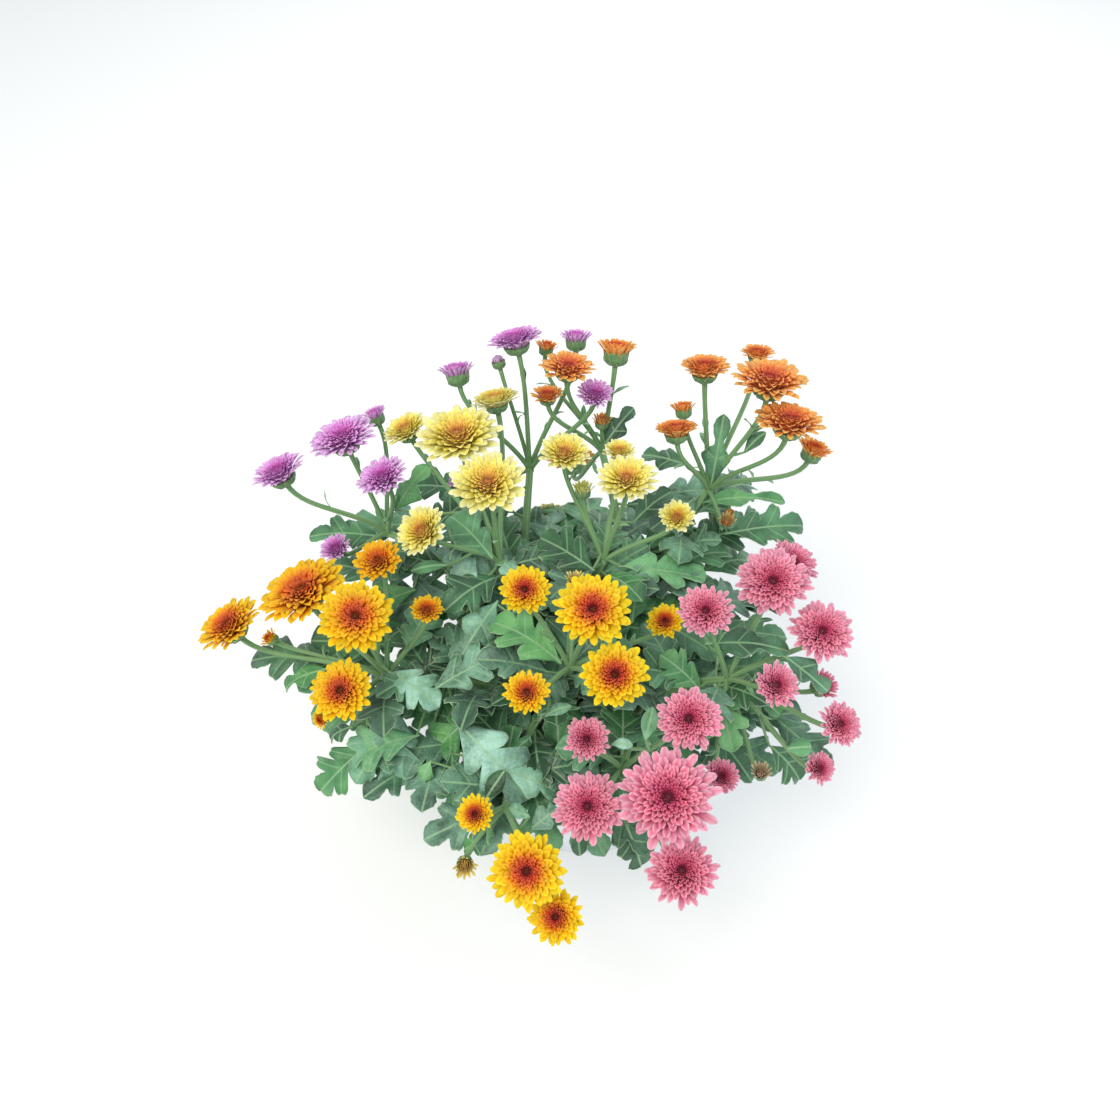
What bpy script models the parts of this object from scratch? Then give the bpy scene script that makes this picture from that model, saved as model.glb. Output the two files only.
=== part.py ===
# Pot chrysanthemum: five colours of spray chrysanthemum growing together in one white pot.
# Metres, +Z up. The origin is the middle of the pot's foot, and the front faces -Y.
import math

import bmesh
import bpy
from mathutils import Matrix, Vector

MM = 0.001
GAP = 0.3 * MM

# Pot: a low, wide plastic pot with a collar under its rim
POT_HEIGHT = 150 * MM
POT_RIM_RADIUS = 102.5 * MM
POT_FOOT_RADIUS = 76 * MM
POT_WALL = 2.2 * MM
POT_FLOOR = 3 * MM
COLLAR_HEIGHT = 24 * MM
COLLAR_STEP = 3 * MM
COLLAR_EDGE = 2 * MM
LIP_WIDTH = 4 * MM
POT_CHAMFER = 1.5 * MM
DRAIN_HOLES = 6
DRAIN_RADIUS = 5 * MM
DRAIN_RING = 55 * MM
POT_SIDES = 24

# Potting soil: its level at the pot's wall, and its low mound as shares of the radius and of the rise
SOIL_EDGE = 136 * MM
SOIL_TOP = 141 * MM
SOIL_MOUND = [(1.0, 0.0), (0.9, 0.5), (0.45, 1.0), (0.0, 1.0)]

# Plants: each crown stands in a socket of the soil
CROWN_DEPTH = 26 * MM
CROWN_RADIUS = 4.2 * MM
CROWN_HEIGHT = 12 * MM
SHOOT_RADIUS = 3.0 * MM
STALK_RADIUS = 2.1 * MM
PETIOLE_RADIUS = 1.5 * MM
FORK_RADIUS = 4.6 * MM
STEM_SIDES = 5
STALK_STEPS = 3
SHOOT_STEPS = 4
SOCKET_SIDES = 8
LEAF_THICK = 1.2 * MM
LEAF_OUTLINE = [(0, 0.10), (0.5, 1.0), (1.0, 0.12)]  # share of the length, share of the width
LEAF_OVERLAP = 0.06  # share of a leaf that its petiole reaches into

# Paths of shoots and stalks: how they leave (lead), where they bend (bend), and how far they arch
# upwards, as shares of their length
SHOOT_FOOT = 0.6 * CROWN_HEIGHT
SHOOT_LEAD = 0.18
SHOOT_BEND = 0.72
STALK_LEAD = 0.3
STALK_BEND = 0.3
ARCH = 0.12
HEIGHT_WEIGHT = 0.5  # a petiole prefers a root near its own height

# Flower heads
HEAD_SIDES = 8
YOUNG_HEAD_SIDES = 6
NECK_RADIUS = 2.6 * MM
YOUNG_HEAD_OVERLAP = 2 * MM
BACK_OPENED = 0.9
# Section of a head in shares of its radius, for a bud and for an open flower
HEAD_NECK = (-1.15, -0.44)
CALYX_RADIUS = (0.62, 0.36)
CALYX_HEIGHT = (-0.72, -0.20)
CROWN_RING = 0.45
CROWN_RING_HEIGHT = (0.10, 0.20)
CROWN_TOP = (0.06, 0.16)

# Viewpoint that the flowers' places are read from: a square picture, in its own pixels,
# seen from VIEW_DISTANCE in front of VIEW_TARGET and looking down by VIEW_TILT
PICTURE_SIDE = 1120
FOCAL_PIXELS = 1150
VIEW_TILT = math.radians(46)
VIEW_DISTANCE = 800 * MM
VIEW_TARGET = Vector((-21, 0, 266)) * MM

LOOK = Vector((0, math.cos(VIEW_TILT), -math.sin(VIEW_TILT)))
RIGHT = Vector((1, 0, 0))
UP = RIGHT.cross(LOOK)
VIEWPOINT = VIEW_TARGET - LOOK * VIEW_DISTANCE

# Colours of the petals (linear), one for each plant
PETAL_COLOURS = {
    "mauve": (0.56, 0.19, 0.52, 1),
    "yellow": (0.89, 0.76, 0.17, 1),
    "bronze": (0.74, 0.25, 0.04, 1),
    "golden": (0.93, 0.50, 0.01, 1),
    "coral": (0.79, 0.17, 0.28, 1),
}

# Each plant: where its crown stands on the soil (mm), its forks as (across, down, height in mm),
# and its flowers and leaves.
# Open flower: fork, across, down, height, width (mm), turn from the viewpoint (degrees),
# the picture direction it is turned to (degrees, 0 up, 90 right), and how far it has opened.
# Half-open flowers and buds have the same columns, and are one piece with their stems.
# Leaf: base across, down, height; tip across, down, height; width (mm).
PLANTS = {
    "mauve": {
        "crown": (-52, 42),
        "forks": {"left": (388, 533, 205), "back": (530, 470, 225)},
        "flowers": [
            ("left", 278, 470, 272, 43, 62, -30, 0.7),
            ("left", 343, 437, 290, 54, 58, -23, 0.9),
            ("left", 382, 476, 282, 41, 50, -30, 0.8),
            ("left", 335, 547, 222, 27, 42, -40, 0.6),
            ("back", 515, 338, 335, 44, 72, -13, 0.8),
            ("back", 595, 393, 304, 30, 40, 5, 0.7),
        ],
        "young": [
            ("left", 373, 412, 276, 24, 72, -25, 0.3),
            ("back", 456, 367, 302, 32, 78, -10, 0.3),
            ("back", 576, 334, 321, 28, 75, 0, 0.3),
            ("back", 497, 357, 312, 17, 76, -15, 0.1),
        ],
        "leaves": [
            (383, 537, 202, 309, 537, 196, 30),
        ],
    },
    "yellow": {
        "crown": (-12, 24),
        "forks": {"left": (500, 562, 228), "right": (603, 562, 225)},
        "flowers": [
            ("left", 405, 428, 290, 38, 58, -30, 0.8),
            ("left", 458, 435, 300, 68, 50, -12, 1.0),
            ("left", 495, 398, 296, 40, 72, -12, 0.8),
            ("left", 488, 483, 312, 58, 38, -10, 1.0),
            ("left", 421, 530, 280, 42, 40, -50, 0.8),
            ("right", 565, 452, 308, 40, 42, 5, 0.9),
            ("right", 619, 450, 282, 27, 50, 0, 0.8),
            ("right", 627, 478, 302, 46, 42, 0, 1.0),
            ("right", 677, 516, 274, 29, 30, 0, 0.8),
        ],
        "young": [
            ("right", 583, 486, 280, 17, 60, 0, 0.2),
        ],
        "leaves": [
            (493, 559, 238, 450, 516, 252, 38),
            (595, 571, 232, 540, 538, 240, 40),
            (618, 566, 226, 706, 579, 206, 34),
            (632, 524, 240, 672, 492, 252, 24),
            (478, 588, 224, 448, 552, 236, 24),
        ],
    },
    "bronze": {
        "crown": (38, 52),
        "forks": {"right": (708, 490, 228), "back": (602, 452, 235)},
        "flowers": [
            ("back", 568, 367, 322, 44, 58, 5, 0.9),
            ("back", 547, 394, 296, 27, 60, -5, 0.7),
            ("right", 705, 366, 322, 40, 65, 0, 0.7),
            ("right", 676, 428, 292, 36, 72, -5, 0.7),
            ("right", 770, 380, 324, 60, 60, 8, 0.9),
            ("right", 790, 421, 312, 54, 62, 12, 0.9),
            ("right", 758, 352, 298, 30, 68, 5, 0.7),
        ],
        "young": [
            ("back", 547, 344, 304, 20, 70, 10, 0.3),
            ("back", 617, 345, 328, 34, 76, 5, 0.3),
            ("back", 602, 418, 270, 17, 60, 0, 0.2),
            ("right", 683, 405, 292, 22, 75, -5, 0.3),
            ("right", 815, 447, 272, 30, 66, 25, 0.4),
            ("right", 727, 519, 232, 14, 40, 10, 0.1),
        ],
        "leaves": [
            (724, 534, 215, 803, 526, 205, 38),
            (700, 503, 222, 785, 503, 214, 20),
            (711, 485, 236, 724, 414, 285, 20),
            (687, 465, 240, 642, 455, 238, 22),
            (604, 446, 248, 634, 408, 272, 20),
        ],
    },
    "golden": {
        "crown": (-32, -34),
        "forks": {"left": (388, 678, 182), "middle": (570, 669, 205), "front": (505, 808, 160)},
        "flowers": [
            ("left", 229, 625, 215, 52, 57, -43, 0.9),
            ("left", 303, 592, 240, 68, 52, -33, 1.0),
            ("left", 378, 560, 254, 38, 38, -25, 0.8),
            ("left", 356, 617, 252, 56, 22, -20, 1.0),
            ("left", 427, 609, 238, 26, 35, -5, 0.7),
            ("left", 341, 691, 222, 47, 25, -45, 0.9),
            ("middle", 525, 590, 272, 38, 20, -10, 0.9),
            ("middle", 593, 610, 282, 54, 20, 0, 1.0),
            ("middle", 615, 675, 262, 47, 15, 10, 0.9),
            ("middle", 665, 621, 244, 28, 24, 0, 0.8),
            ("middle", 527, 692, 246, 33, 22, -10, 0.8),
            ("front", 475, 814, 186, 28, 20, -60, 0.8),
            ("front", 527, 871, 200, 51, 8, -120, 1.0),
            ("front", 556, 917, 168, 38, 15, -90, 0.9),
        ],
        "young": [
            ("left", 320, 720, 192, 15, 45, -120, 0.4),
            ("left", 268, 637, 206, 16, 60, -60, 0.3),
            ("middle", 575, 577, 262, 17, 50, 0, 0.2),
            ("front", 465, 868, 150, 15, 30, 180, 0.1),
        ],
        "leaves": [
            (337, 663, 182, 251, 661, 172, 34),
            (388, 671, 196, 439, 708, 186, 34),
            (435, 689, 196, 508, 652, 212, 36),
            (396, 704, 180, 394, 787, 132, 42),
            (370, 742, 160, 321, 791, 118, 36),
            (455, 720, 196, 528, 800, 152, 46),
            (451, 750, 158, 453, 812, 118, 30),
            (562, 664, 212, 490, 622, 218, 40),
            (496, 834, 146, 464, 850, 132, 22),
            (530, 830, 158, 559, 809, 168, 20),
        ],
    },
    "coral": {
        "crown": (40, -36),
        "forks": {"right": (727, 680, 203), "front": (622, 770, 165)},
        "flowers": [
            ("right", 773, 582, 262, 54, 22, 10, 1.0),
            ("right", 793, 563, 232, 42, 45, 40, 0.9),
            ("right", 822, 632, 235, 48, 25, 30, 1.0),
            ("right", 706, 611, 272, 40, 18, 0, 0.9),
            ("right", 777, 685, 234, 34, 26, 60, 0.8),
            ("right", 840, 724, 200, 34, 30, 70, 0.9),
            ("right", 820, 768, 176, 25, 30, 80, 0.8),
            ("right", 722, 776, 196, 27, 20, 60, 0.7),
            ("front", 689, 719, 250, 45, 12, 0, 0.9),
            ("front", 587, 739, 226, 32, 12, 0, 0.8),
            ("front", 668, 798, 236, 65, 12, 0, 1.0),
            ("front", 588, 807, 206, 49, 15, -20, 1.0),
            ("front", 682, 871, 186, 48, 18, 0, 0.9),
        ],
        "young": [
            ("right", 825, 684, 196, 26, 45, 60, 0.4),
            ("right", 761, 770, 170, 14, 30, 10, 0.1),
        ],
        "leaves": [
            (704, 644, 226, 790, 652, 222, 26),
            (715, 683, 204, 733, 752, 184, 32),
            (783, 655, 226, 828, 692, 216, 22),
            (768, 744, 156, 799, 780, 132, 30),
            (625, 822, 150, 641, 866, 122, 28),
            (700, 690, 196, 660, 655, 214, 32),
        ],
    },
}

# Flowers and leaves of the side that the picture doesn't show.
# Flower: plant, fork, heading (degrees, 0 front, 90 right), reach and height (mm), width, lean.
BACK_FLOWERS = [
    ("mauve", "back", 213, 176, 212, 42, 58),
    ("bronze", "back", 183, 190, 192, 46, 60),
    ("bronze", "right", 139, 178, 182, 42, 58),
    ("yellow", "back", 193, 152, 168, 38, 70),
]
# Leaf: plant, heading, reach and height of its base, reach and height of its tip, width.
BACK_LEAVES = [
    ("mauve", 236, 120, 178, 186, 150, 34),
    ("mauve", 205, 118, 186, 168, 140, 32),
    ("bronze", 166, 118, 184, 180, 146, 36),
    ("bronze", 128, 112, 180, 176, 150, 34),
    ("bronze", 108, 108, 176, 172, 158, 32),
]
BACK_FORK = (188, 92, 186)


def empty_the_scene():
    for thing in list(bpy.data.objects):
        bpy.data.objects.remove(thing, do_unlink=True)


def sight_point(across, down, height):
    """The point at this height (mm) that the picture shows at these pixels."""
    middle = PICTURE_SIDE / 2
    ray = LOOK * FOCAL_PIXELS + RIGHT * (across - middle) - UP * (down - middle)
    return VIEWPOINT + ray * ((height * MM - VIEWPOINT.z) / ray.z)


def plan_point(heading, reach, height):
    turn = math.radians(heading)
    return Vector((math.sin(turn) * reach, -math.cos(turn) * reach, height)) * MM


def turned_axis(point, turn, direction):
    """The way a flower faces: turned from the line to the viewpoint, towards a picture direction."""
    back = (VIEWPOINT - point).normalized()
    side = RIGHT.cross(back).normalized()
    upward = -side if side.z < 0 else side
    across = upward.cross(back).normalized()
    angle = math.radians(direction)
    towards = upward * math.cos(angle) + across * math.sin(angle)
    return (back * math.cos(math.radians(turn)) + towards * math.sin(math.radians(turn))).normalized()


def blend(first, last, share):
    return first + (last - first) * share


def material(name, colour, roughness):
    made = bpy.data.materials.new(name)
    made.use_nodes = True
    shader = made.node_tree.nodes["Principled BSDF"]
    shader.inputs["Base Color"].default_value = colour
    shader.inputs["Roughness"].default_value = roughness
    return made


def add_object(name, bm, finish=None):
    bmesh.ops.recalc_face_normals(bm, faces=bm.faces)
    mesh = bpy.data.meshes.new(name)
    bm.to_mesh(mesh)
    bm.free()
    thing = bpy.data.objects.new(name, mesh)
    bpy.context.scene.collection.objects.link(thing)
    if finish:
        mesh.materials.append(finish)
        mesh.shade_smooth()
        mesh.set_sharp_from_angle(angle=math.radians(40))
    return thing


def turn_profile(bm, profile, sides):
    """A solid of revolution about Z. The profile's ends lie on the axis."""
    points = [bm.verts.new((radius, 0, height)) for radius, height in profile]
    edges = [bm.edges.new(pair) for pair in zip(points, points[1:])]
    bmesh.ops.spin(bm, geom=points + edges, cent=(0, 0, 0), axis=(0, 0, 1),
                   angle=math.tau, steps=sides, use_merge=True)
    bmesh.ops.remove_doubles(bm, verts=bm.verts, dist=0.01 * MM)


def add_tube(bm, points, radius, sides=STEM_SIDES, last_way=None):
    """A closed tube through the points, its rings square to the path, the last one to last_way."""
    rings = []
    side = None
    for i, point in enumerate(points):
        ahead = (points[min(i + 1, len(points) - 1)] - points[max(i - 1, 0)]).normalized()
        if last_way and i == len(points) - 1:
            ahead = last_way
        side = ahead.orthogonal() if side is None else side - ahead * side.dot(ahead)
        side.normalize()
        other = ahead.cross(side)
        ring = []
        for k in range(sides):
            angle = math.tau * k / sides
            ring.append(bm.verts.new(point + (side * math.cos(angle) + other * math.sin(angle)) * radius))
        rings.append(ring)
    for low, high in zip(rings, rings[1:]):
        for k in range(sides):
            bm.faces.new((low[k], low[(k + 1) % sides], high[(k + 1) % sides], high[k]))
    bm.faces.new(rings[0][::-1])
    bm.faces.new(rings[-1])


def curve_points(start, lead, drive, end, steps):
    """Points along a Bezier curve."""
    points = []
    for i in range(steps + 1):
        t = i / steps
        s = 1 - t
        points.append(start * s**3 + lead * 3 * s * s * t + drive * 3 * s * t * t + end * t**3)
    return points


def pot_inner_radius(height):
    foot = POT_FOOT_RADIUS - POT_WALL
    rim = POT_RIM_RADIUS - COLLAR_STEP - POT_WALL
    return blend(foot, rim, height / POT_HEIGHT)


def make_pot():
    collar = POT_HEIGHT - COLLAR_HEIGHT
    wall_at_collar = pot_inner_radius(collar) + POT_WALL
    profile = [
        (0, 0),
        (POT_FOOT_RADIUS - POT_CHAMFER, 0),
        (POT_FOOT_RADIUS, POT_CHAMFER),
        (wall_at_collar, collar),
        (POT_RIM_RADIUS - COLLAR_EDGE, collar + COLLAR_EDGE / 2),
        (POT_RIM_RADIUS, POT_HEIGHT - POT_CHAMFER),
        (POT_RIM_RADIUS - POT_CHAMFER, POT_HEIGHT),
        (POT_RIM_RADIUS - LIP_WIDTH, POT_HEIGHT),
        (pot_inner_radius(POT_HEIGHT), POT_HEIGHT - 2 * POT_CHAMFER),
        (pot_inner_radius(POT_FLOOR), POT_FLOOR),
        (0, POT_FLOOR),
    ]
    bm = bmesh.new()
    turn_profile(bm, profile, POT_SIDES)
    pot = add_object("pot", bm, material("white_plastic", (0.83, 0.86, 0.89, 1), 0.4))

    bm = bmesh.new()
    for i in range(DRAIN_HOLES):
        place = Matrix.Rotation(math.tau * (i + 0.5) / DRAIN_HOLES, 4, "Z")
        place @= Matrix.Translation((DRAIN_RING, 0, POT_FLOOR / 2))
        bmesh.ops.create_cone(bm, cap_ends=True, segments=8, radius1=DRAIN_RADIUS,
                              radius2=DRAIN_RADIUS, depth=4 * POT_FLOOR, matrix=place)
    cut(pot, add_object("drain_cutter", bm))


def make_soil():
    low = POT_FLOOR + GAP
    high = pot_inner_radius(SOIL_EDGE) - GAP
    profile = [(0, low), (pot_inner_radius(low) - GAP, low)]
    profile += [(share * high, blend(SOIL_EDGE, SOIL_TOP, rise)) for share, rise in SOIL_MOUND]
    bm = bmesh.new()
    turn_profile(bm, profile, POT_SIDES)
    soil = add_object("potting_soil", bm, material("peat", (0.02, 0.014, 0.01, 1), 0.95))

    bm = bmesh.new()
    for plant in PLANTS.values():
        across, along = plant["crown"]
        place = Matrix.Translation((across * MM, along * MM, SOIL_TOP))
        socket = CROWN_RADIUS + 2 * GAP
        bmesh.ops.create_cone(bm, cap_ends=True, segments=SOCKET_SIDES, radius1=socket,
                              radius2=socket, depth=2 * CROWN_DEPTH, matrix=place)
    cut(soil, add_object("socket_cutter", bm))


def cut(thing, cutter):
    cutter.hide_render = True
    cutter.display_type = "WIRE"
    step = thing.modifiers.new("cut", "BOOLEAN")
    step.operation = "DIFFERENCE"
    step.object = cutter


def head_profile(width, opened):
    """Half section of a flower head. Height 0 is the plane of the petal tips."""
    radius = width * MM / 2
    neck = blend(*HEAD_NECK, opened) * radius
    return [
        (0, neck),
        (NECK_RADIUS, neck),
        (blend(*CALYX_RADIUS, opened) * radius, blend(*CALYX_HEIGHT, opened) * radius),
        (radius, 0),
        (CROWN_RING * radius, blend(*CROWN_RING_HEIGHT, opened) * radius),
        (0, blend(*CROWN_TOP, opened) * radius),
    ]


def facing(point, axis):
    return Matrix.Translation(point) @ axis.to_track_quat("Z", "Y").to_matrix().to_4x4()


def neck_point(point, axis, width, opened):
    return point + axis * head_profile(width, opened)[0][1]


def make_head(name, point, axis, width, opened, finish):
    bm = bmesh.new()
    turn_profile(bm, head_profile(width, opened), HEAD_SIDES)
    bmesh.ops.transform(bm, matrix=facing(point, axis), verts=bm.verts)
    add_object(name, bm, finish)


def plant_flowers(name):
    """Every flower of a plant: fork, place, axis, width, how far opened, and whether it is its own piece."""
    flowers = []
    for kind in ("flowers", "young"):
        for fork, across, down, height, width, turn, direction, opened in PLANTS[name][kind]:
            point = sight_point(across, down, height)
            flowers.append((fork, point, turned_axis(point, turn, direction), width, opened, kind == "flowers"))
    for plant, fork, heading, reach, height, width, lean in BACK_FLOWERS:
        if plant == name:
            axis = plan_point(heading, math.sin(math.radians(lean)), math.cos(math.radians(lean)))
            flowers.append((fork, plan_point(heading, reach, height), axis.normalized(), width, BACK_OPENED, True))
    return flowers


def plant_forks(name):
    forks = {fork: sight_point(*place) for fork, place in PLANTS[name]["forks"].items()}
    if "back" not in forks:
        heading, reach, height = BACK_FORK
        forks["back"] = plan_point(heading, reach, height)
    used = {flower[0] for flower in plant_flowers(name)}
    return {fork: point for fork, point in forks.items() if fork in used}


def plant_leaves(name):
    leaves = []
    for across, down, height, tip_across, tip_down, tip_height, width in PLANTS[name]["leaves"]:
        leaves.append((sight_point(across, down, height), sight_point(tip_across, tip_down, tip_height), width))
    for plant, heading, reach, height, tip_reach, tip_height, width in BACK_LEAVES:
        if plant == name:
            leaves.append((plan_point(heading, reach, height), plan_point(heading, tip_reach, tip_height), width))
    return leaves


def add_leaf(bm, base, tip, width):
    """A flat blade: a closed lozenge, widest in the middle."""
    length = (tip - base).length
    ahead = (tip - base).normalized()
    side = ahead.cross(Vector((0, 0, 1))).normalized()
    lift = side.cross(ahead) * LEAF_THICK / 2
    left = [base + ahead * length * t + side * width * MM / 2 * w for t, w in LEAF_OUTLINE]
    right = [base + ahead * length * t - side * width * MM / 2 * w for t, w in reversed(LEAF_OUTLINE)]
    upper = [bm.verts.new(point + lift) for point in left + right]
    lower = [bm.verts.new(point - lift) for point in left + right]
    bm.faces.new(upper)
    bm.faces.new(lower[::-1])
    for k in range(len(upper)):
        bm.faces.new((upper[k - 1], upper[k], lower[k], lower[k - 1]))


def make_plant(name):
    """Stems, leaves, buds and half-open flowers of one plant, joined in one solid."""
    across, along = PLANTS[name]["crown"]
    crown = Vector((across * MM, along * MM, SOIL_TOP))
    forks = plant_forks(name)
    bm = bmesh.new()
    paths = []
    for place in forks.values():
        start = crown + Vector((0, 0, SHOOT_FOOT))
        lead = start + Vector((0, 0, CROWN_HEIGHT)) + (place - start) * SHOOT_LEAD
        arch = Vector((0, 0, ARCH * (place - start).length))
        shoot = curve_points(start, lead, blend(start, place, SHOOT_BEND) + arch, place, SHOOT_STEPS)
        add_tube(bm, shoot, SHOOT_RADIUS)
        paths += shoot[1:]
        bmesh.ops.create_icosphere(bm, subdivisions=1, radius=FORK_RADIUS, matrix=Matrix.Translation(place))

    for fork, point, axis, width, opened, own_piece in plant_flowers(name):
        end = neck_point(point, axis, width, opened)
        end += axis * (-GAP if own_piece else YOUNG_HEAD_OVERLAP)
        start = forks[fork] + (forks[fork] - end).normalized() * FORK_RADIUS / 4
        reach = (end - start).length
        lead = blend(start, end, STALK_LEAD) + Vector((0, 0, ARCH * reach))
        stalk = curve_points(start, lead, end - axis * reach * STALK_BEND, end, STALK_STEPS)
        add_tube(bm, stalk, STALK_RADIUS, last_way=axis)
        if own_piece:
            paths += stalk[:2]
        else:
            head = bmesh.new()
            turn_profile(head, head_profile(width, opened), YOUNG_HEAD_SIDES)
            bmesh.ops.transform(head, matrix=facing(point, axis), verts=head.verts)
            copy_into(bm, head)

    for base, tip, width in plant_leaves(name):
        root = min(paths, key=lambda point: (point - base).length + HEIGHT_WEIGHT * abs(point.z - base.z))
        joint = blend(base, tip, LEAF_OVERLAP)
        root += (root - joint).normalized() * PETIOLE_RADIUS / 3
        add_tube(bm, [root, joint], PETIOLE_RADIUS, sides=4)
        add_leaf(bm, base, tip, width)

    stems = add_object(name + "_stems_and_leaves", bm, material("leaf_green", (0.09, 0.2, 0.08, 1), 0.6))
    unite(stems, crown)


def copy_into(bm, other):
    mesh = bpy.data.meshes.new("part")
    bmesh.ops.recalc_face_normals(other, faces=other.faces)
    other.to_mesh(mesh)
    other.free()
    bm.from_mesh(mesh)
    bpy.data.meshes.remove(mesh)


def unite(stems, crown):
    """Joins the overlapping shapes of a plant with its crown, which stands in the soil."""
    bm = bmesh.new()
    place = Matrix.Translation(crown + Vector((0, 0, (CROWN_HEIGHT - CROWN_DEPTH) / 2 + GAP)))
    bmesh.ops.create_cone(bm, cap_ends=True, segments=SOCKET_SIDES, radius1=CROWN_RADIUS,
                          radius2=CROWN_RADIUS, depth=CROWN_DEPTH + CROWN_HEIGHT - 4 * GAP, matrix=place)
    stub = add_object(stems.name + "_crown", bm)
    stub.hide_render = True
    stub.display_type = "WIRE"
    step = stems.modifiers.new("unite", "BOOLEAN")
    step.operation = "UNION"
    step.object = stub
    step.use_self = True


def make_plants():
    for name in PLANTS:
        finish = material(name + "_petals", PETAL_COLOURS[name], 0.55)
        number = 0
        for fork, point, axis, width, opened, own_piece in plant_flowers(name):
            if own_piece:
                number += 1
                make_head(f"{name}_flower_{number:02d}", point, axis, width, opened, finish)
        make_plant(name)


empty_the_scene()
make_pot()
make_soil()
make_plants()
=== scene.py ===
import math

import bmesh
import bpy
import numpy as np
from mathutils import Matrix, Vector, noise


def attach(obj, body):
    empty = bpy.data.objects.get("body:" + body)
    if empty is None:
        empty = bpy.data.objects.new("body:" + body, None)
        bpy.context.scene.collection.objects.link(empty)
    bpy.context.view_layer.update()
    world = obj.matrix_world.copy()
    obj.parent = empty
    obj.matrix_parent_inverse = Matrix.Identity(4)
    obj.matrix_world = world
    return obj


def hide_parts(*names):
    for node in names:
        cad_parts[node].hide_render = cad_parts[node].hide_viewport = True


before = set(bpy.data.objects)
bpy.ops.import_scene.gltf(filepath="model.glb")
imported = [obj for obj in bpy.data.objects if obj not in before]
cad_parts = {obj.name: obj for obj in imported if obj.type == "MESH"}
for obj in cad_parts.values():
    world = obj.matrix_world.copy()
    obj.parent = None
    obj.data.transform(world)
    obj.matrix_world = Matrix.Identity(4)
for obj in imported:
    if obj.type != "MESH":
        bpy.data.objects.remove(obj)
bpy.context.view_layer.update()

mm = 0.001
goldenTurn = math.radians(137.508)  # each petal and leaf stands this far round from the last

# The view that the flowers' places are read from: a square picture in its own pixels
picture = {"side": 1120, "focal": 1150, "tilt": 46, "distance": 0.8, "target": (-0.021, 0, 0.266)}

tilt = math.radians(picture["tilt"])
look = Vector((0, math.cos(tilt), -math.sin(tilt)))
right = Vector((1, 0, 0))
up = right.cross(look)
viewpoint = Vector(picture["target"]) - look * picture["distance"]


def sightPoint(across, down, height):  # the point at this height (mm) behind these pixels
    middle = picture["side"] / 2
    ray = look * picture["focal"] + right * (across - middle) - up * (down - middle)
    return viewpoint + ray * ((height * mm - viewpoint.z) / ray.z)


def planPoint(heading, reach, height):  # heading in degrees, 0 front and 90 right, then mm
    turn = math.radians(heading)
    return Vector((math.sin(turn) * reach, -math.cos(turn) * reach, height)) * mm


def picturePlace(point):
    ray = point - viewpoint
    depth = ray.dot(look)
    middle = picture["side"] / 2
    return middle + picture["focal"] * ray.dot(right) / depth, middle - picture["focal"] * ray.dot(up) / depth


def blend(first, last, share):
    return first + (last - first) * share


def smooth(low, high, value):
    t = np.clip((value - low) / (high - low), 0, 1)
    return t * t * (3 - 2 * t)


def linear(hexColour):  # sRGB hex to the linear colour that a shader wants
    parts = [int(hexColour[i:i + 2], 16) / 255 for i in (0, 2, 4)]
    return tuple(c / 12.92 if c <= 0.04045 else ((c + 0.055) / 1.055) ** 2.4 for c in parts) + (1.0,)


def addNode(tree, kind, settings=None, links=None):
    node = tree.nodes.new(kind)
    for key, value in (settings or {}).items():
        if key == "stops":
            ramp = node.color_ramp.elements
            while len(ramp) < len(value):
                ramp.new(0.5)
            for stop, (place, colour) in zip(ramp, value):
                stop.position = place
                stop.color = linear(colour)
        elif isinstance(key, str) and hasattr(node, key):
            setattr(node, key, value)
        else:
            node.inputs[key].default_value = value
    for key, source in (links or {}).items():
        tree.links.new(source, node.inputs[key])
    return node


def newMaterial(name):
    material = bpy.data.materials.new(name)
    material.use_nodes = True
    return material, material.node_tree, material.node_tree.nodes["Principled BSDF"]


def finishPiece(name, bm, material, replaces=(), sharp=None):
    mesh = bpy.data.meshes.new(name)
    bm.to_mesh(mesh)
    bm.free()
    piece = bpy.data.objects.new(name, mesh)
    bpy.context.scene.collection.objects.link(piece)
    mesh.materials.append(material)
    mesh.shade_smooth()
    if sharp:
        mesh.set_sharp_from_angle(angle=math.radians(sharp))
    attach(piece, "root")
    if replaces:
        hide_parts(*replaces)
    return piece


def bezier(start, lead, drive, end, steps):
    points = []
    for i in range(steps + 1):
        t = i / steps
        s = 1 - t
        points.append(start * s**3 + lead * 3 * s * s * t + drive * 3 * s * t * t + end * t**3)
    return points


# Camera, light and floor

cameraData = bpy.data.cameras.new("camera")
cameraData.sensor_width = 36
cameraData.lens = 36 * picture["focal"] / picture["side"]
cameraData.clip_start = 0.01
camera = bpy.data.objects.new("camera", cameraData)
camera.location = viewpoint
camera.rotation_euler = (math.pi / 2 - tilt, 0, 0)
bpy.context.scene.collection.objects.link(camera)
bpy.context.scene.camera = camera
bpy.context.scene.view_settings.view_transform = "Standard"

lamps = {
    "key": {"place": (-0.9, -1.1, 2.0), "size": 1.4, "power": 32, "colour": "FFF8EE"},
    "fill": {"place": (1.6, -0.7, 1.3), "size": 1.8, "power": 12, "colour": "EEF4FF"},
    "back": {"place": (0.3, 1.7, 1.6), "size": 1.6, "power": 14, "colour": "FFFFFF"},
}
for name, lamp in lamps.items():
    data = bpy.data.lights.new(name + "Light", "AREA")
    data.size = lamp["size"]
    data.energy = lamp["power"]
    data.color = linear(lamp["colour"])[:3]
    light = bpy.data.objects.new(name + "Light", data)
    light.location = lamp["place"]
    aim = Vector((0, 0, 0.2)) - light.location
    light.rotation_euler = aim.to_track_quat("-Z", "Y").to_euler()
    bpy.context.scene.collection.objects.link(light)

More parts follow.
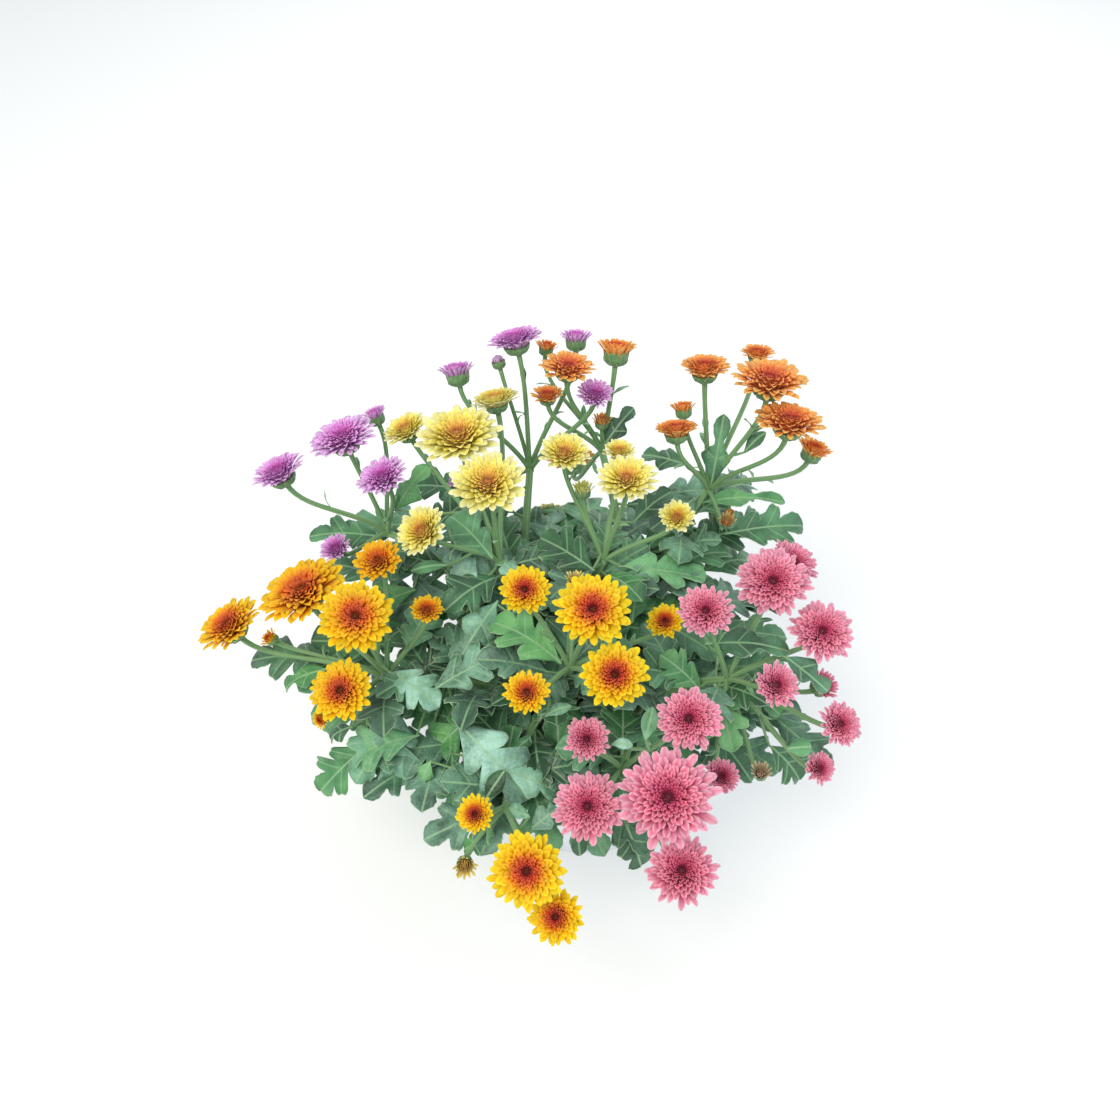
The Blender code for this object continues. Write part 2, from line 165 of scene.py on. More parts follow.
world = bpy.data.worlds.new("softRoom")
world.use_nodes = True
world.node_tree.nodes["Background"].inputs["Color"].default_value = linear("EEF4FA")
world.node_tree.nodes["Background"].inputs["Strength"].default_value = 0.75
bpy.context.scene.world = world

floorMaterial, tree, shader = newMaterial("pale matt floor")
shader.inputs["Base Color"].default_value = linear("F6F6F4")
shader.inputs["Roughness"].default_value = 0.8
bm = bmesh.new()
bmesh.ops.create_grid(bm, x_segments=1, y_segments=1, size=6)
floorMesh = bpy.data.meshes.new("floor")
bm.to_mesh(floorMesh)
bm.free()
floorMesh.materials.append(floorMaterial)
floor = bpy.data.objects.new("floor", floorMesh)
bpy.context.scene.collection.objects.link(floor)
print("stage: camera, lights and floor")

# Petal colours by how far from the axis the petal's tip stands, 0 the eye and 1 the outline of the bloom
# edge: a painted highlight along the petal rims, mixed in up to its share
petalColours = {
    "mauve": {
        "base": [(0, "B44CA4"), (0.12, "DA62C6"), (0.3, "E278D4"), (0.6, "DC88D4"), (1, "DCA2DC")],
        "tip": [(0, "E488D8"), (0.12, "F8A4EE"), (0.5, "FABCF6"), (1, "FBDCFE")],
        "edge": "FFECFF", "edgeHighlightShare": 0.5, "under": "E6CAEA", "late": "C86FC0", "fresh": "C9A6C4",
    },
    "yellow": {
        "base": [(0, "CC8458"), (0.08, "ECAC64"), (0.24, "F8D05C"), (0.5, "F8E64C"), (1, "F4EC58")],
        "tip": [(0, "EEA878"), (0.07, "FCC684"), (0.2, "FFE27A"), (0.4, "FFF274"), (0.75, "FFFAA0"), (1, "FFFFE6")],
        "edge": "FFFFF4", "edgeHighlightShare": 0.55, "under": "F8F4C8", "late": "D8B070", "fresh": "DCE48A",
    },
    "bronze": {
        "base": [(0, "B02E4C"), (0.12, "D84E48"), (0.3, "EE7434"), (0.7, "F28E2C"), (1, "F6A63C")],
        "tip": [(0, "E8646A"), (0.12, "FA8862"), (0.3, "FFAA54"), (0.75, "FFC45C"), (1, "FFD876")],
        "edge": "FFEEB8", "edgeHighlightShare": 0.55, "under": "FACC78", "late": "D8602A", "fresh": "DCC884",
    },
    "golden": {
        "base": [(0, "28060C"), (0.06, "7E1620"), (0.15, "C42C2C"), (0.36, "DE4C1C"), (0.5, "EC8C08"), (0.62, "F8B804"),
                 (0.85, "FFD000")],
        "tip": [(0, "50121E"), (0.05, "B83438"), (0.12, "F46448"), (0.3, "FF8636"), (0.44, "FEB41E"), (0.58, "FFDC0C"),
                (0.85, "FFF014")],
        "edge": "FFF460", "edgeHighlightShare": 0.5, "under": "F8C420", "late": "F8A00C", "fresh": "ECE89A",
    },
    "coral": {
        "base": [(0, "4A0C24"), (0.06, "A0204A"), (0.22, "CC3866"), (0.6, "D85480"), (1, "E67298")],
        "tip": [(0, "7E1C3C"), (0.05, "D04C72"), (0.18, "F67494"), (0.45, "FE98B4"), (0.8, "FFB8CE"), (1, "FFCCDC")],
        "edge": "FFECF2", "edgeHighlightShare": 0.6, "under": "F8C0D0", "late": "D6506C", "fresh": "E6E8B4",
    },
}


def petalMaterial(name, colours):
    # living petal: a soft satin skin with fine lengthwise veins, lighter toward its tip, with a painted highlight along
    # its edges
    material, tree, shader = newMaterial(name + " ray petals, satin")
    place = addNode(tree, "ShaderNodeAttribute", {"attribute_name": "petalPlace"})  # along, across, reach
    kind = addNode(tree, "ShaderNodeAttribute", {"attribute_name": "petalKind"})  # side, tone, late or fresh
    at = addNode(tree, "ShaderNodeSeparateXYZ", links={0: place.outputs["Vector"]})
    of = addNode(tree, "ShaderNodeSeparateXYZ", links={0: kind.outputs["Vector"]})
    base = addNode(tree, "ShaderNodeValToRGB", {"stops": colours["base"]}, {0: at.outputs["Z"]})
    tip = addNode(tree, "ShaderNodeValToRGB", {"stops": colours["tip"]}, {0: at.outputs["Z"]})
    # inner petals show only their light tips; outer ones are light for half their length
    lightFrom = addNode(tree, "ShaderNodeMapRange", {1: 0.3, 2: 0.8, 3: 0.68, 4: 0.3}, {0: at.outputs["Z"]})
    reach = addNode(tree, "ShaderNodeMapRange", {"interpolation_type": "SMOOTHSTEP", 2: 0.99},
                    {0: at.outputs["X"], 1: lightFrom.outputs[0]})
    sideways = addNode(tree, "ShaderNodeMath", {"operation": "ABSOLUTE"}, {0: at.outputs["Y"]})
    # painted highlight along the petal edges: the edge colour, strongest at the sides of the outer petals
    rim = addNode(tree, "ShaderNodeMapRange", {1: 0.5, 2: 1.0, 4: colours["edgeHighlightShare"]}, {0: sideways.outputs[0]})
    # the channel down the middle stays the deeper colour: painted shade in the petal's channel
    channelShade = addNode(tree, "ShaderNodeMapRange", {1: 0.05, 2: 0.55, 3: 0.45, 4: 1.0}, {0: sideways.outputs[0]})
    lit = addNode(tree, "ShaderNodeMath", {"operation": "MULTIPLY"}, {0: reach.outputs[0], 1: channelShade.outputs[0]})
    body = addNode(tree, "ShaderNodeMix", {"data_type": "RGBA"},
                   {0: lit.outputs[0], 6: base.outputs[0], 7: tip.outputs[0]})
    rimHighlightHere = addNode(tree, "ShaderNodeMath", {"operation": "MULTIPLY"}, {0: rim.outputs[0], 1: reach.outputs[0]})
    rimOut = addNode(tree, "ShaderNodeMapRange", {1: 0.1, 2: 0.5, 3: 0.3}, {0: at.outputs["Z"]})
    rimHighlightShare = addNode(tree, "ShaderNodeMath", {"operation": "MULTIPLY"}, {0: rimHighlightHere.outputs[0], 1: rimOut.outputs[0]})
    # mixes in the edge colour as a painted highlight
    edged = addNode(tree, "ShaderNodeMix", {"data_type": "RGBA", 7: linear(colours["edge"])},
                    {0: rimHighlightShare.outputs[0], 6: body.outputs[2]})
    lateShare = addNode(tree, "ShaderNodeMath", {"operation": "MULTIPLY", 1: 0.6, "use_clamp": True},
                        {0: of.outputs["Z"]})
    aged = addNode(tree, "ShaderNodeMix", {"data_type": "RGBA", 7: linear(colours["late"])},
                   {0: lateShare.outputs[0], 6: edged.outputs[2]})
    freshShare = addNode(tree, "ShaderNodeMath", {"operation": "MULTIPLY", 1: -0.8, "use_clamp": True},
                         {0: of.outputs["Z"]})
    fresh = addNode(tree, "ShaderNodeMix", {"data_type": "RGBA", 7: linear(colours["fresh"])},
                    {0: freshShare.outputs[0], 6: aged.outputs[2]})
    back = addNode(tree, "ShaderNodeMapRange", {1: -0.05, 2: -0.4, 4: 0.55}, {0: of.outputs["X"]})
    backOut = addNode(tree, "ShaderNodeMath", {"operation": "MULTIPLY"}, {0: back.outputs[0], 1: rimOut.outputs[0]})
    sided = addNode(tree, "ShaderNodeMix", {"data_type": "RGBA", 7: linear(colours["under"])},
                    {0: backOut.outputs[0], 6: fresh.outputs[2]})
    # veins run lengthwise, about 0.5 mm apart on a petal 4 mm wide
    veinTurn = addNode(tree, "ShaderNodeMath", {"operation": "MULTIPLY", 1: 15.0}, {0: at.outputs["Y"]})
    veinWave = addNode(tree, "ShaderNodeMath", {"operation": "COSINE"}, {0: veinTurn.outputs[0]})
    value = addNode(tree, "ShaderNodeMath", {"operation": "MULTIPLY_ADD", 1: 0.18, 2: 0.92}, {0: of.outputs["Y"]})
    shade = addNode(tree, "ShaderNodeMath", {"operation": "MULTIPLY_ADD", 1: 0.03},
                    {0: veinWave.outputs[0], 2: value.outputs[0]})
    toned = addNode(tree, "ShaderNodeHueSaturation", links={"Value": shade.outputs[0], "Color": sided.outputs[2]})
    bump = addNode(tree, "ShaderNodeBump", {"Strength": 0.15, "Distance": 0.0002}, {"Height": veinWave.outputs[0]})
    tree.links.new(toned.outputs[0], shader.inputs["Base Color"])
    tree.links.new(bump.outputs[0], shader.inputs["Normal"])
    shader.inputs["Roughness"].default_value = 0.5
    shader.inputs["Specular IOR Level"].default_value = 0.35
    shader.inputs["Sheen Weight"].default_value = 0.1
    # light that comes through the thin petals
    through = addNode(tree, "ShaderNodeBsdfTranslucent", links={"Color": toned.outputs[0]})
    both = addNode(tree, "ShaderNodeMixShader", {0: 0.36}, {1: shader.outputs[0], 2: through.outputs[0]})
    tree.links.new(both.outputs[0], tree.nodes["Material Output"].inputs["Surface"])
    return material


# Blooms: petals laid round the head by the golden turn. count: petals in a bloom 52 mm wide. wide: width of a
# petal for its reach. outline: its width along its length. gap: how far the outermost row stands out.
bloomShapes = {
    "mauve": {"count": 240, "wide": 0.30, "jag": 0.03, "outline": (0.3, 0.4, 0.75, 1.0, 0.82, 0.46, 0),
              "roll": (1.2, 0.95), "droop": 0.05, "gap": 0.0},
    "yellow": {"count": 195, "wide": 0.38, "jag": 0.035, "outline": (0.3, 0.4, 0.8, 1.0, 0.7, 0.32, 0),
               "roll": (1.2, 0.8), "droop": 0.0, "gap": 0.02},
    "bronze": {"count": 200, "wide": 0.36, "jag": 0.045, "outline": (0.3, 0.4, 0.8, 1.0, 0.78, 0.4, 0),
               "roll": (1.2, 0.9), "droop": 0.06, "gap": 0.0},
    "golden": {"count": 210, "wide": 0.38, "jag": 0.025, "outline": (0.3, 0.4, 0.8, 1.0, 0.74, 0.36, 0),
               "roll": (1.2, 0.85), "droop": 0.05, "gap": 0.02},
    "coral": {"count": 245, "wide": 0.34, "jag": 0.035, "outline": (0.3, 0.4, 0.72, 0.96, 0.86, 0.48, 0),
              "roll": (1.3, 0.9), "droop": 0.04, "gap": 0.04},
}
ringAt = (0, 0.14, 0.34, 0.52, 0.7, 0.85, 1)
reachOf = (0.02, 0.11, 0.25, 0.4, 0.63, 0.86, 1.0)
outlineAt = (0, 0.15, 0.5, 0.78, 0.9, 0.965, 1)
domeAt = (0, 0.12, 0.3, 0.5, 0.72, 0.88, 1.0)
domeHeight = (0.13, 0.16, 0.18, 0.17, 0.12, 0.06, 0.0)
calyxRows = ((9, 0.15, 0.62), (11, 0.35, 0.88), (13, 0.55, 1.12))  # bracts in a row, foot and tip along the cup
layerNames = ("along", "across", "side", "number")


def newPetals():
    bm = bmesh.new()
    for key in layerNames:
        bm.verts.layers.float.new(key)
    return bm


def addPetals(bm, around, rings, first, count, finish=0):
    # one flattened closed petal, repeated; its corners carry their place in the petal
    along, across, side, number = (bm.verts.layers.float[key] for key in layerNames)
    before = len(bm.verts), len(bm.edges), len(bm.faces)
    bmesh.ops.create_uvsphere(bm, u_segments=around, v_segments=rings, radius=1)
    verts, edges, faces = (list(part)[n:] for part, n in zip((bm.verts, bm.edges, bm.faces), before))
    for vert in verts:
        level = math.hypot(vert.co.x, vert.co.y)
        vert[along] = (vert.co.z + 1) / 2
        vert[across] = vert.co.x / level if level > 1e-4 else 0
        vert[side] = vert.co.y / level if level > 1e-4 else 0
        vert[number] = first
    for edge in edges:
        edge.smooth = any(abs(vert[side]) > 0.1 for vert in edge.verts)
    for face in faces:
        face.smooth = True
        face.material_index = finish
    for k in range(1, count):
        for element in bmesh.ops.duplicate(bm, geom=verts + edges + faces)["geom"]:
            if isinstance(element, bmesh.types.BMVert):
                element[number] = first + k


def addTurned(bm, profile, sides, matrix, finish):
    # a turned core, already in its place: the receptacle under the petals, and the cup of the calyx
    along, across, side, number = (bm.verts.layers.float[key] for key in layerNames)
    points = [bm.verts.new((radius, 0, height)) for radius, height in profile]
    for i, point in enumerate(points):
        point[along] = i / (len(points) - 1)
        point[side] = 1
        point[number] = -1
    edges = [bm.edges.new(pair) for pair in zip(points, points[1:])]
    before = set(bm.faces)
    bmesh.ops.spin(bm, geom=points + edges, cent=(0, 0, 0), axis=(0, 0, 1), angle=math.tau, steps=sides,
                   use_merge=True)
    faces = [face for face in bm.faces if face not in before]
    corners = list(dict.fromkeys(vert for face in faces for vert in face.verts))
    bmesh.ops.remove_doubles(bm, verts=corners, dist=1e-6)
    faces = [face for face in bm.faces if face not in before]
    bmesh.ops.recalc_face_normals(bm, faces=faces)
    corners = list(dict.fromkeys(vert for face in faces for vert in face.verts))
    bmesh.ops.transform(bm, matrix=matrix, verts=corners)
    for face in faces:
        face.smooth = True
        face.material_index = finish


def readLayer(mesh, key):
    values = np.empty(len(mesh.vertices), np.float32)
    mesh.attributes[key].data.foreach_get("value", values)
    return values


def writeVectors(mesh, key, columns):
    layer = mesh.attributes.new(key, "FLOAT_VECTOR", "POINT")
    layer.data.foreach_set("vector", np.stack(columns, 1).astype(np.float32).ravel())


def layPetals(mesh, plan, outline, matrix):
    # moves every corner to its place: along a curve in the petal's own plane, and rolled across it
    along, across, side, number = (readLayer(mesh, key) for key in layerNames)
    core = number < -0.5
    which = np.maximum(np.rint(number).astype(int), 0)
    p = {key: values[which] for key, values in plan.items()}
    t, s = along, 1 - along
    r = p["baseR"] * s * s + 2 * p["ctrlR"] * s * t + p["tipR"] * t * t
    z = p["baseZ"] * s * s + 2 * p["ctrlZ"] * s * t + p["tipZ"] * t * t
    dr = s * (p["ctrlR"] - p["baseR"]) + t * (p["tipR"] - p["ctrlR"])
    dz = s * (p["ctrlZ"] - p["baseZ"]) + t * (p["tipZ"] - p["ctrlZ"])
    slope = np.maximum(np.hypot(dr, dz), 1e-7)
    dr, dz = dr / slope, dz / slope
    half = p["width"] / 2 * np.interp(t, outlineAt, outline)
    roll = p["roll"] * (0.55 + 0.45 * t)
    arc = across * roll
    sideways = half * np.sin(arc) / roll
    lift = half * (1 - np.cos(arc)) / roll + p["cup"] * p["width"] * smooth(0.7, 1.0, t)
    lift = lift + sideways * p["twist"] * t + side * (0.04 * p["width"] + 0.07 * mm)
    sideways = sideways + p["bend"] * t * t
    r = r - dz * lift
    z = z + dr * lift
    turn = p["turn"]
    local = np.stack([r * np.cos(turn) - sideways * np.sin(turn), r * np.sin(turn) + sideways * np.cos(turn), z], 1)
    place = np.array(matrix)
    places = local @ place[:3, :3].T + place[:3, 3]
    kept = np.empty(len(mesh.vertices) * 3, np.float32)
    mesh.vertices.foreach_get("co", kept)
    places = np.where(core[:, None], kept.reshape(-1, 3), places)
    mesh.vertices.foreach_set("co", places.astype(np.float32).ravel())
    writeVectors(mesh, "petalPlace", [along, across, np.where(core, 0, p["reach"])])
    writeVectors(mesh, "petalKind", [side, np.where(core, 0.5, p["tone"]), np.where(core, 0, p["late"])])
    for key in layerNames:
        mesh.attributes.remove(mesh.attributes[key])
    mesh.update()


def petalPlan(shape, radius, opened, count, rng, late):
    ring = (np.arange(count) + 0.5) / count
    calyxR, calyxZ = blend(0.62, 0.36, opened), -blend(0.72, 0.20, opened)
    tight = float(smooth(0.2, 0.1, opened))  # a bud keeps its petals drawn in
    fresh = float(smooth(0.3, 0.2, opened))  # petals that have only just come out are pale
    reach = np.interp(ring, ringAt, reachOf) - shape["gap"] * smooth(0.5, 0.8, ring) * smooth(1.0, 0.9, ring)
    tipR = reach * (1 + shape["jag"] * rng.normal(size=count) * smooth(0.2, 0.9, ring))
    tipR = np.minimum(tipR, 1.05)
    tipZ = np.interp(tipR, domeAt, domeHeight) * blend(0.5, 1.0, opened) + 0.015 * rng.normal(size=count)
    tipZ = tipZ - 0.05 * smooth(0.55, 0.9, ring) * rng.uniform(0, 1, count) * opened
    tipZ = tipZ + tight * 0.12 * (1 - reach)
    tipR = tipR * blend(1, 0.42, tight)
    baseR = np.minimum(0.85 * calyxR * np.sqrt(ring), blend(1.0, 0.5, opened) * tipR)
    baseZ = blend(blend(calyxZ, 0.07, opened), calyxZ, smooth(0.0, 0.85, ring))
    outward = smooth(0.04, 0.3, ring)
    ctrlR = baseR + (tipR - baseR) * blend(0.9, blend(0.3, 0.5, opened), outward)
    ctrlR = ctrlR + tight * 0.34 * (1 - 0.25 * ring)
    ctrlZ = baseZ + (tipZ - baseZ) * blend(0.6, blend(0.75, 1.05, opened), outward)
    ctrlZ = ctrlZ + shape["droop"] * opened * outward
    width = shape["wide"] * np.maximum(reach, 0.12) / (1 + 0.38 * reach ** 2)
    width = width * (1 + 0.07 * rng.normal(size=count)) * blend(1, 1.5, tight)
    inner, outer = shape["roll"]
    return {
        "reach": reach, "tipR": tipR * radius, "tipZ": tipZ * radius, "baseR": baseR * radius,
        "baseZ": baseZ * radius, "ctrlR": ctrlR * radius, "ctrlZ": ctrlZ * radius, "width": width * radius,
        "roll": np.maximum(blend(inner, outer, ring) * (1 + 0.15 * rng.normal(size=count)), 0.25),
        "turn": np.arange(count) * goldenTurn + 0.04 * rng.normal(size=count) + rng.uniform(0, 6.28),
        "bend": 0.03 * radius * reach * rng.normal(size=count), "twist": 0.2 * rng.normal(size=count),
        "cup": blend(0.45, 0.12, ring) + 0.06 * rng.normal(size=count),
        "tone": rng.uniform(0, 1, count), "late": np.full(count, late - fresh),
    }


def cupProfile(radius, opened):  # the calyx, from the stalk to under the petals
    neck, rimZ = -blend(1.15, 0.44, opened) * radius, -blend(0.72, 0.20, opened) * radius
    rimR = blend(0.62, 0.36, opened) * radius
    return [(1.9 * mm, neck - 0.8 * mm), (2.7 * mm, neck + 0.3 * mm),
            (blend(2.6 * mm, rimR, 0.62), blend(neck, rimZ, 0.22)),
            (blend(2.6 * mm, rimR, 0.92), blend(neck, rimZ, 0.55)), (rimR, rimZ)]


def bractPlan(radius, opened, rng):
    # bracts overlap like tiles round the cup, each row further up than the last
    young = float(smooth(0.85, 0.35, opened))  # the cup of a bud or young flower stands up round its petals
    rows = []
    cup = np.array(cupProfile(radius, opened))
    rise = np.array([blend(0.1, 0.02, young), blend(0.1, 0.36, young)])
    openOut = min(1.0, radius / (20 * mm)) * mm
    cup = np.vstack([cup, cup[-1] + rise * radius])
    span = np.append(np.linspace(0, 1, len(cup) - 1), 1.3)
    for row, (count, foot, tip) in enumerate(calyxRows):
        for k in range(count):
            end = tip + 0.04 * rng.normal() + 0.16 * young
            at = [(np.interp(share, span, cup[:, 0]), np.interp(share, span, cup[:, 1]))
                  for share in (foot, (foot + end) / 2, end)]
            rows.append({
                "reach": row / 2, "baseR": at[0][0], "baseZ": at[0][1], "ctrlR": at[1][0] + 0.9 * openOut,
                "ctrlZ": at[1][1] - 0.5 * openOut, "tipR": at[2][0] + (1.2 - 0.3 * row) * openOut, "tipZ": at[2][1],
                "width": 1.45 * math.tau * at[2][0] / count, "roll": 0.5,
                "turn": (k + 0.5 * row) * math.tau / count + 0.08 * rng.normal(), "bend": 0,
                "twist": 0.1 * rng.normal(), "cup": 0.05, "tone": rng.uniform(), "late": 0,
            })
    return {key: np.array([row[key] for row in rows], float) for key in rows[0]}


def growHead(variety, head, seed, late=0.0):
    centre, axis, radius, opened = head
    shape = bloomShapes[variety]
    rng = np.random.default_rng(seed)
    place = Matrix.Translation(centre) @ axis.to_track_quat("Z", "Y").to_matrix().to_4x4()
    full = shape["count"] * min(1.0, (radius / (26 * mm)) ** 0.35)
    count = int(full * blend(0.4, 1.0, float(smooth(0.05, 0.75, opened))))
    outer, mid = int(count * 0.17), int(count * 0.3)
    bm = newPetals()
    addPetals(bm, 4, 5, 0, count - outer - mid)
    addPetals(bm, 4, 7, count - outer - mid, mid)
    addPetals(bm, 6, 8, count - outer, outer)
    bracts = bractPlan(radius, opened, rng)
    addPetals(bm, 4, 4, count, len(bracts["reach"]), 1)
    calyxR, calyxZ = blend(0.62, 0.36, opened) * radius, -blend(0.72, 0.20, opened) * radius
    crest = blend(calyxZ, 0.05 * radius, opened)
    dome = [(0, calyxZ), (0.86 * calyxR, calyxZ), (0.82 * calyxR, blend(calyxZ, crest, 0.2)),
            (0.5 * calyxR, blend(calyxZ, crest, 0.75)), (0.2 * calyxR, crest), (0, crest)]
    addTurned(bm, dome, 10, place, 0)
    cup = cupProfile(radius, opened)
    addTurned(bm, [(0, cup[0][1])] + cup + [(0, calyxZ + 0.05 * radius)], 12, place, 1)
    mesh = bpy.data.meshes.new("head")
    bm.to_mesh(mesh)
    bm.free()
    plan = petalPlan(shape, radius, opened, count, rng, late)
    plan = {key: np.concatenate([plan[key], bracts[key]]) for key in plan}
    layPetals(mesh, plan, shape["outline"], place)
    return mesh


def addPiece(name, mesh, finishes, replaces=()):
    piece = bpy.data.objects.new(name, mesh)
    mesh.name = name
    bpy.context.scene.collection.objects.link(piece)
    for finish in finishes:
        mesh.materials.append(finish)
    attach(piece, "root")
    if replaces:
        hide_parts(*replaces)
    return piece


def headOf(node):  # a bloom's place, axis, radius and how far it has opened, from its CAD solid
    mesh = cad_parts[node].data
    points = np.empty(len(mesh.vertices) * 3, np.float32)
    mesh.vertices.foreach_get("co", points)
    points = np.unique(np.round(points.reshape(-1, 3).astype(float), 6), axis=0)
    middle = points.mean(0)
    spread, ways = np.linalg.eigh(np.cov((points - middle).T))
    gaps = [abs(spread[1] - spread[2]), abs(spread[0] - spread[2]), abs(spread[0] - spread[1])]
    axis = ways[:, int(np.argmin(gaps))]
    heights = (points - middle) @ axis
    radii = np.linalg.norm(points - middle - np.outer(heights, axis), axis=1)
    if radii[heights > heights.max() - 1e-4].mean() < radii[heights < heights.min() + 1e-4].mean():
        axis, heights = -axis, -heights
    radius = radii.max()
    tips = heights[radii > 0.9 * radius].mean()
    opened = (1.15 - (tips - heights.min()) / radius) / 0.71
    return Vector(middle + axis * tips), Vector(axis), float(radius), float(opened)


# Plants: where the stems fork and what stands on them

# fork: across, down (picture) and height in mm. Young heads: fork, across, down, height, width in mm,
# turn from the view, picture direction, how far opened.
plants = {
    "mauve": {
        "crown": (-52, 42), "forks": {"left": (388, 533, 205), "back": (530, 470, 225)},
        "blooms": {"left": 4, "back": 3},
        "young": [("left", 373, 412, 276, 24, 72, -25, 0.3), ("back", 456, 367, 302, 32, 78, -10, 0.3),
                  ("back", 576, 334, 321, 28, 75, 0, 0.3), ("back", 497, 357, 312, 17, 76, -15, 0.1)],
    },
    "yellow": {
        "crown": (-12, 24), "forks": {"left": (500, 562, 228), "right": (603, 562, 225), "back": None},
        "blooms": {"left": 5, "right": 4, "back": 1},
        "young": [("right", 583, 486, 280, 19, 60, 0, 0.2)],
    },
    "bronze": {
        "crown": (38, 52), "forks": {"right": (708, 490, 228), "back": (602, 452, 235)},
        "blooms": {"back": 2, "right": 5, "back ": 1, "right ": 1},
        "young": [("back", 547, 344, 304, 20, 70, 10, 0.3), ("back", 617, 345, 328, 34, 76, 5, 0.3),
                  ("back", 602, 418, 270, 19, 60, 0, 0.25), ("right", 683, 405, 292, 22, 75, -5, 0.3),
                  ("right", 815, 447, 272, 30, 66, 25, 0.4), ("right", 727, 519, 232, 16, 40, 10, 0.2)],
    },
    "golden": {
        "crown": (-32, -34), "forks": {"left": (388, 678, 182), "middle": (570, 669, 205), "front": (505, 808, 160)},
        "blooms": {"left": 6, "middle": 5, "front": 3},
        "young": [("left", 320, 720, 192, 15, 45, -120, 0.4), ("left", 268, 637, 206, 16, 60, -60, 0.3),
                  ("middle", 575, 577, 262, 17, 50, 0, 0.2), ("front", 465, 868, 150, 19, 30, 180, 0.2)],
    },
    "coral": {
        "crown": (40, -36), "forks": {"right": (727, 680, 203), "front": (622, 770, 165)},
        "blooms": {"right": 8, "front": 5},
        "young": [("right", 825, 684, 196, 26, 45, 60, 0.4), ("right", 761, 770, 170, 17, 30, 10, 0.2)],
    },
}
backFork = (188, 92, 186)  # heading, reach and height of the yellow plant's hidden shoot
soilTop = 141 * mm


def turnedAxis(point, turn, direction):  # the way a flower faces, turned from the line to the view
    back = (viewpoint - point).normalized()
    side = right.cross(back).normalized()
    upward = -side if side.z < 0 else side
    across = upward.cross(back).normalized()
    angle = math.radians(direction)
    towards = upward * math.cos(angle) + across * math.sin(angle)
    return (back * math.cos(math.radians(turn)) + towards * math.sin(math.radians(turn))).normalized()


# Stems, leaves and their finishes

def addStem(bm, points, radii, sides=12, ribs=6):
    # a grid wrapped round the path; its seam is merged and both ends are closed
    rib = bm.verts.layers.float_vector["stemPlace"]
    steps = len(points) - 1
    grid = bmesh.ops.create_grid(bm, x_segments=sides, y_segments=steps, size=1)["verts"]
    frames, side = [], None
    for i, point in enumerate(points):
        ahead = (points[min(i + 1, steps)] - points[max(i - 1, 0)]).normalized()
        side = ahead.orthogonal() if side is None else side - ahead * side.dot(ahead)
        side.normalize()
        frames.append((point, side.copy(), ahead.cross(side)))
    for vert in grid:
        i = round((vert.co.y + 1) / 2 * steps)
        angle = -math.pi * (vert.co.x + 1)
        point, one, other = frames[i]
        ridge = math.cos(ribs * angle)
        reach = radii[i] * (1 + 0.06 * ridge)
        vert[rib] = (ridge, i / steps, 0)
        vert.co = point + (one * math.cos(angle) + other * math.sin(angle)) * reach
    merged = bmesh.ops.remove_doubles(bm, verts=grid, dist=1e-6)
    grid = [vert for vert in grid if vert.is_valid]
    open_edges = {edge for vert in grid for edge in vert.link_edges if edge.is_boundary}
    bmesh.ops.holes_fill(bm, edges=list(open_edges), sides=0)


def stemMaterial():
    # soft young stem: six low ribs, paler on the ribs, with a fine down
    material, tree, shader = newMaterial("chrysanthemum stem, ribbed")
    place = addNode(tree, "ShaderNodeAttribute", {"attribute_name": "stemPlace"})
    at = addNode(tree, "ShaderNodeSeparateXYZ", links={0: place.outputs["Vector"]})
    where = addNode(tree, "ShaderNodeTexCoord")
    blotch = addNode(tree, "ShaderNodeTexNoise", {"Scale": 60.0, "Detail": 3.0}, {"Vector": where.outputs["Object"]})
    climb = addNode(tree, "ShaderNodeValToRGB", {"stops": [(0, "4F7A48"), (0.5, "638F55"), (1, "5F8A52")]},
                    {0: blotch.outputs[0]})
    rib = addNode(tree, "ShaderNodeMapRange", {1: -1.0, 2: 1.0, 3: 0.0, 4: 0.5}, {0: at.outputs["X"]})
    striped = addNode(tree, "ShaderNodeMix", {"data_type": "RGBA", 7: linear("93B985")},
                      {0: rib.outputs[0], 6: climb.outputs[0]})
    down = addNode(tree, "ShaderNodeTexNoise", {"Scale": 1400.0, "Detail": 2.0}, {"Vector": where.outputs["Object"]})
    bump = addNode(tree, "ShaderNodeBump", {"Strength": 0.2, "Distance": 0.0003}, {"Height": down.outputs[0]})
    tree.links.new(striped.outputs[2], shader.inputs["Base Color"])
    tree.links.new(bump.outputs[0], shader.inputs["Normal"])
    shader.inputs["Roughness"].default_value = 0.55
    shader.inputs["Sheen Weight"].default_value = 0.2
    return material


def calyxMaterial():
    # overlapping green bracts with thin, papery, paler margins
    material, tree, shader = newMaterial("calyx bracts, papery edged")
    place = addNode(tree, "ShaderNodeAttribute", {"attribute_name": "petalPlace"})
    at = addNode(tree, "ShaderNodeSeparateXYZ", links={0: place.outputs["Vector"]})
    where = addNode(tree, "ShaderNodeTexCoord")
    blotch = addNode(tree, "ShaderNodeTexNoise", {"Scale": 220.0, "Detail": 3.0}, {"Vector": where.outputs["Object"]})
    green = addNode(tree, "ShaderNodeValToRGB", {"stops": [(0.25, "4C7447"), (0.55, "628E55"), (0.8, "7DA768")]},
                    {0: blotch.outputs[0]})
    sideways = addNode(tree, "ShaderNodeMath", {"operation": "ABSOLUTE"}, {0: at.outputs["Y"]})
    margin = addNode(tree, "ShaderNodeMapRange", {1: 0.6, 2: 1.0, 4: 0.55}, {0: sideways.outputs[0]})
    edged = addNode(tree, "ShaderNodeMix", {"data_type": "RGBA", 7: linear("B9BF93")},
                    {0: margin.outputs[0], 6: green.outputs[0]})
    tree.links.new(edged.outputs[2], shader.inputs["Base Color"])
    shader.inputs["Roughness"].default_value = 0.6
    shader.inputs["Sheen Weight"].default_value = 0.2
    return material


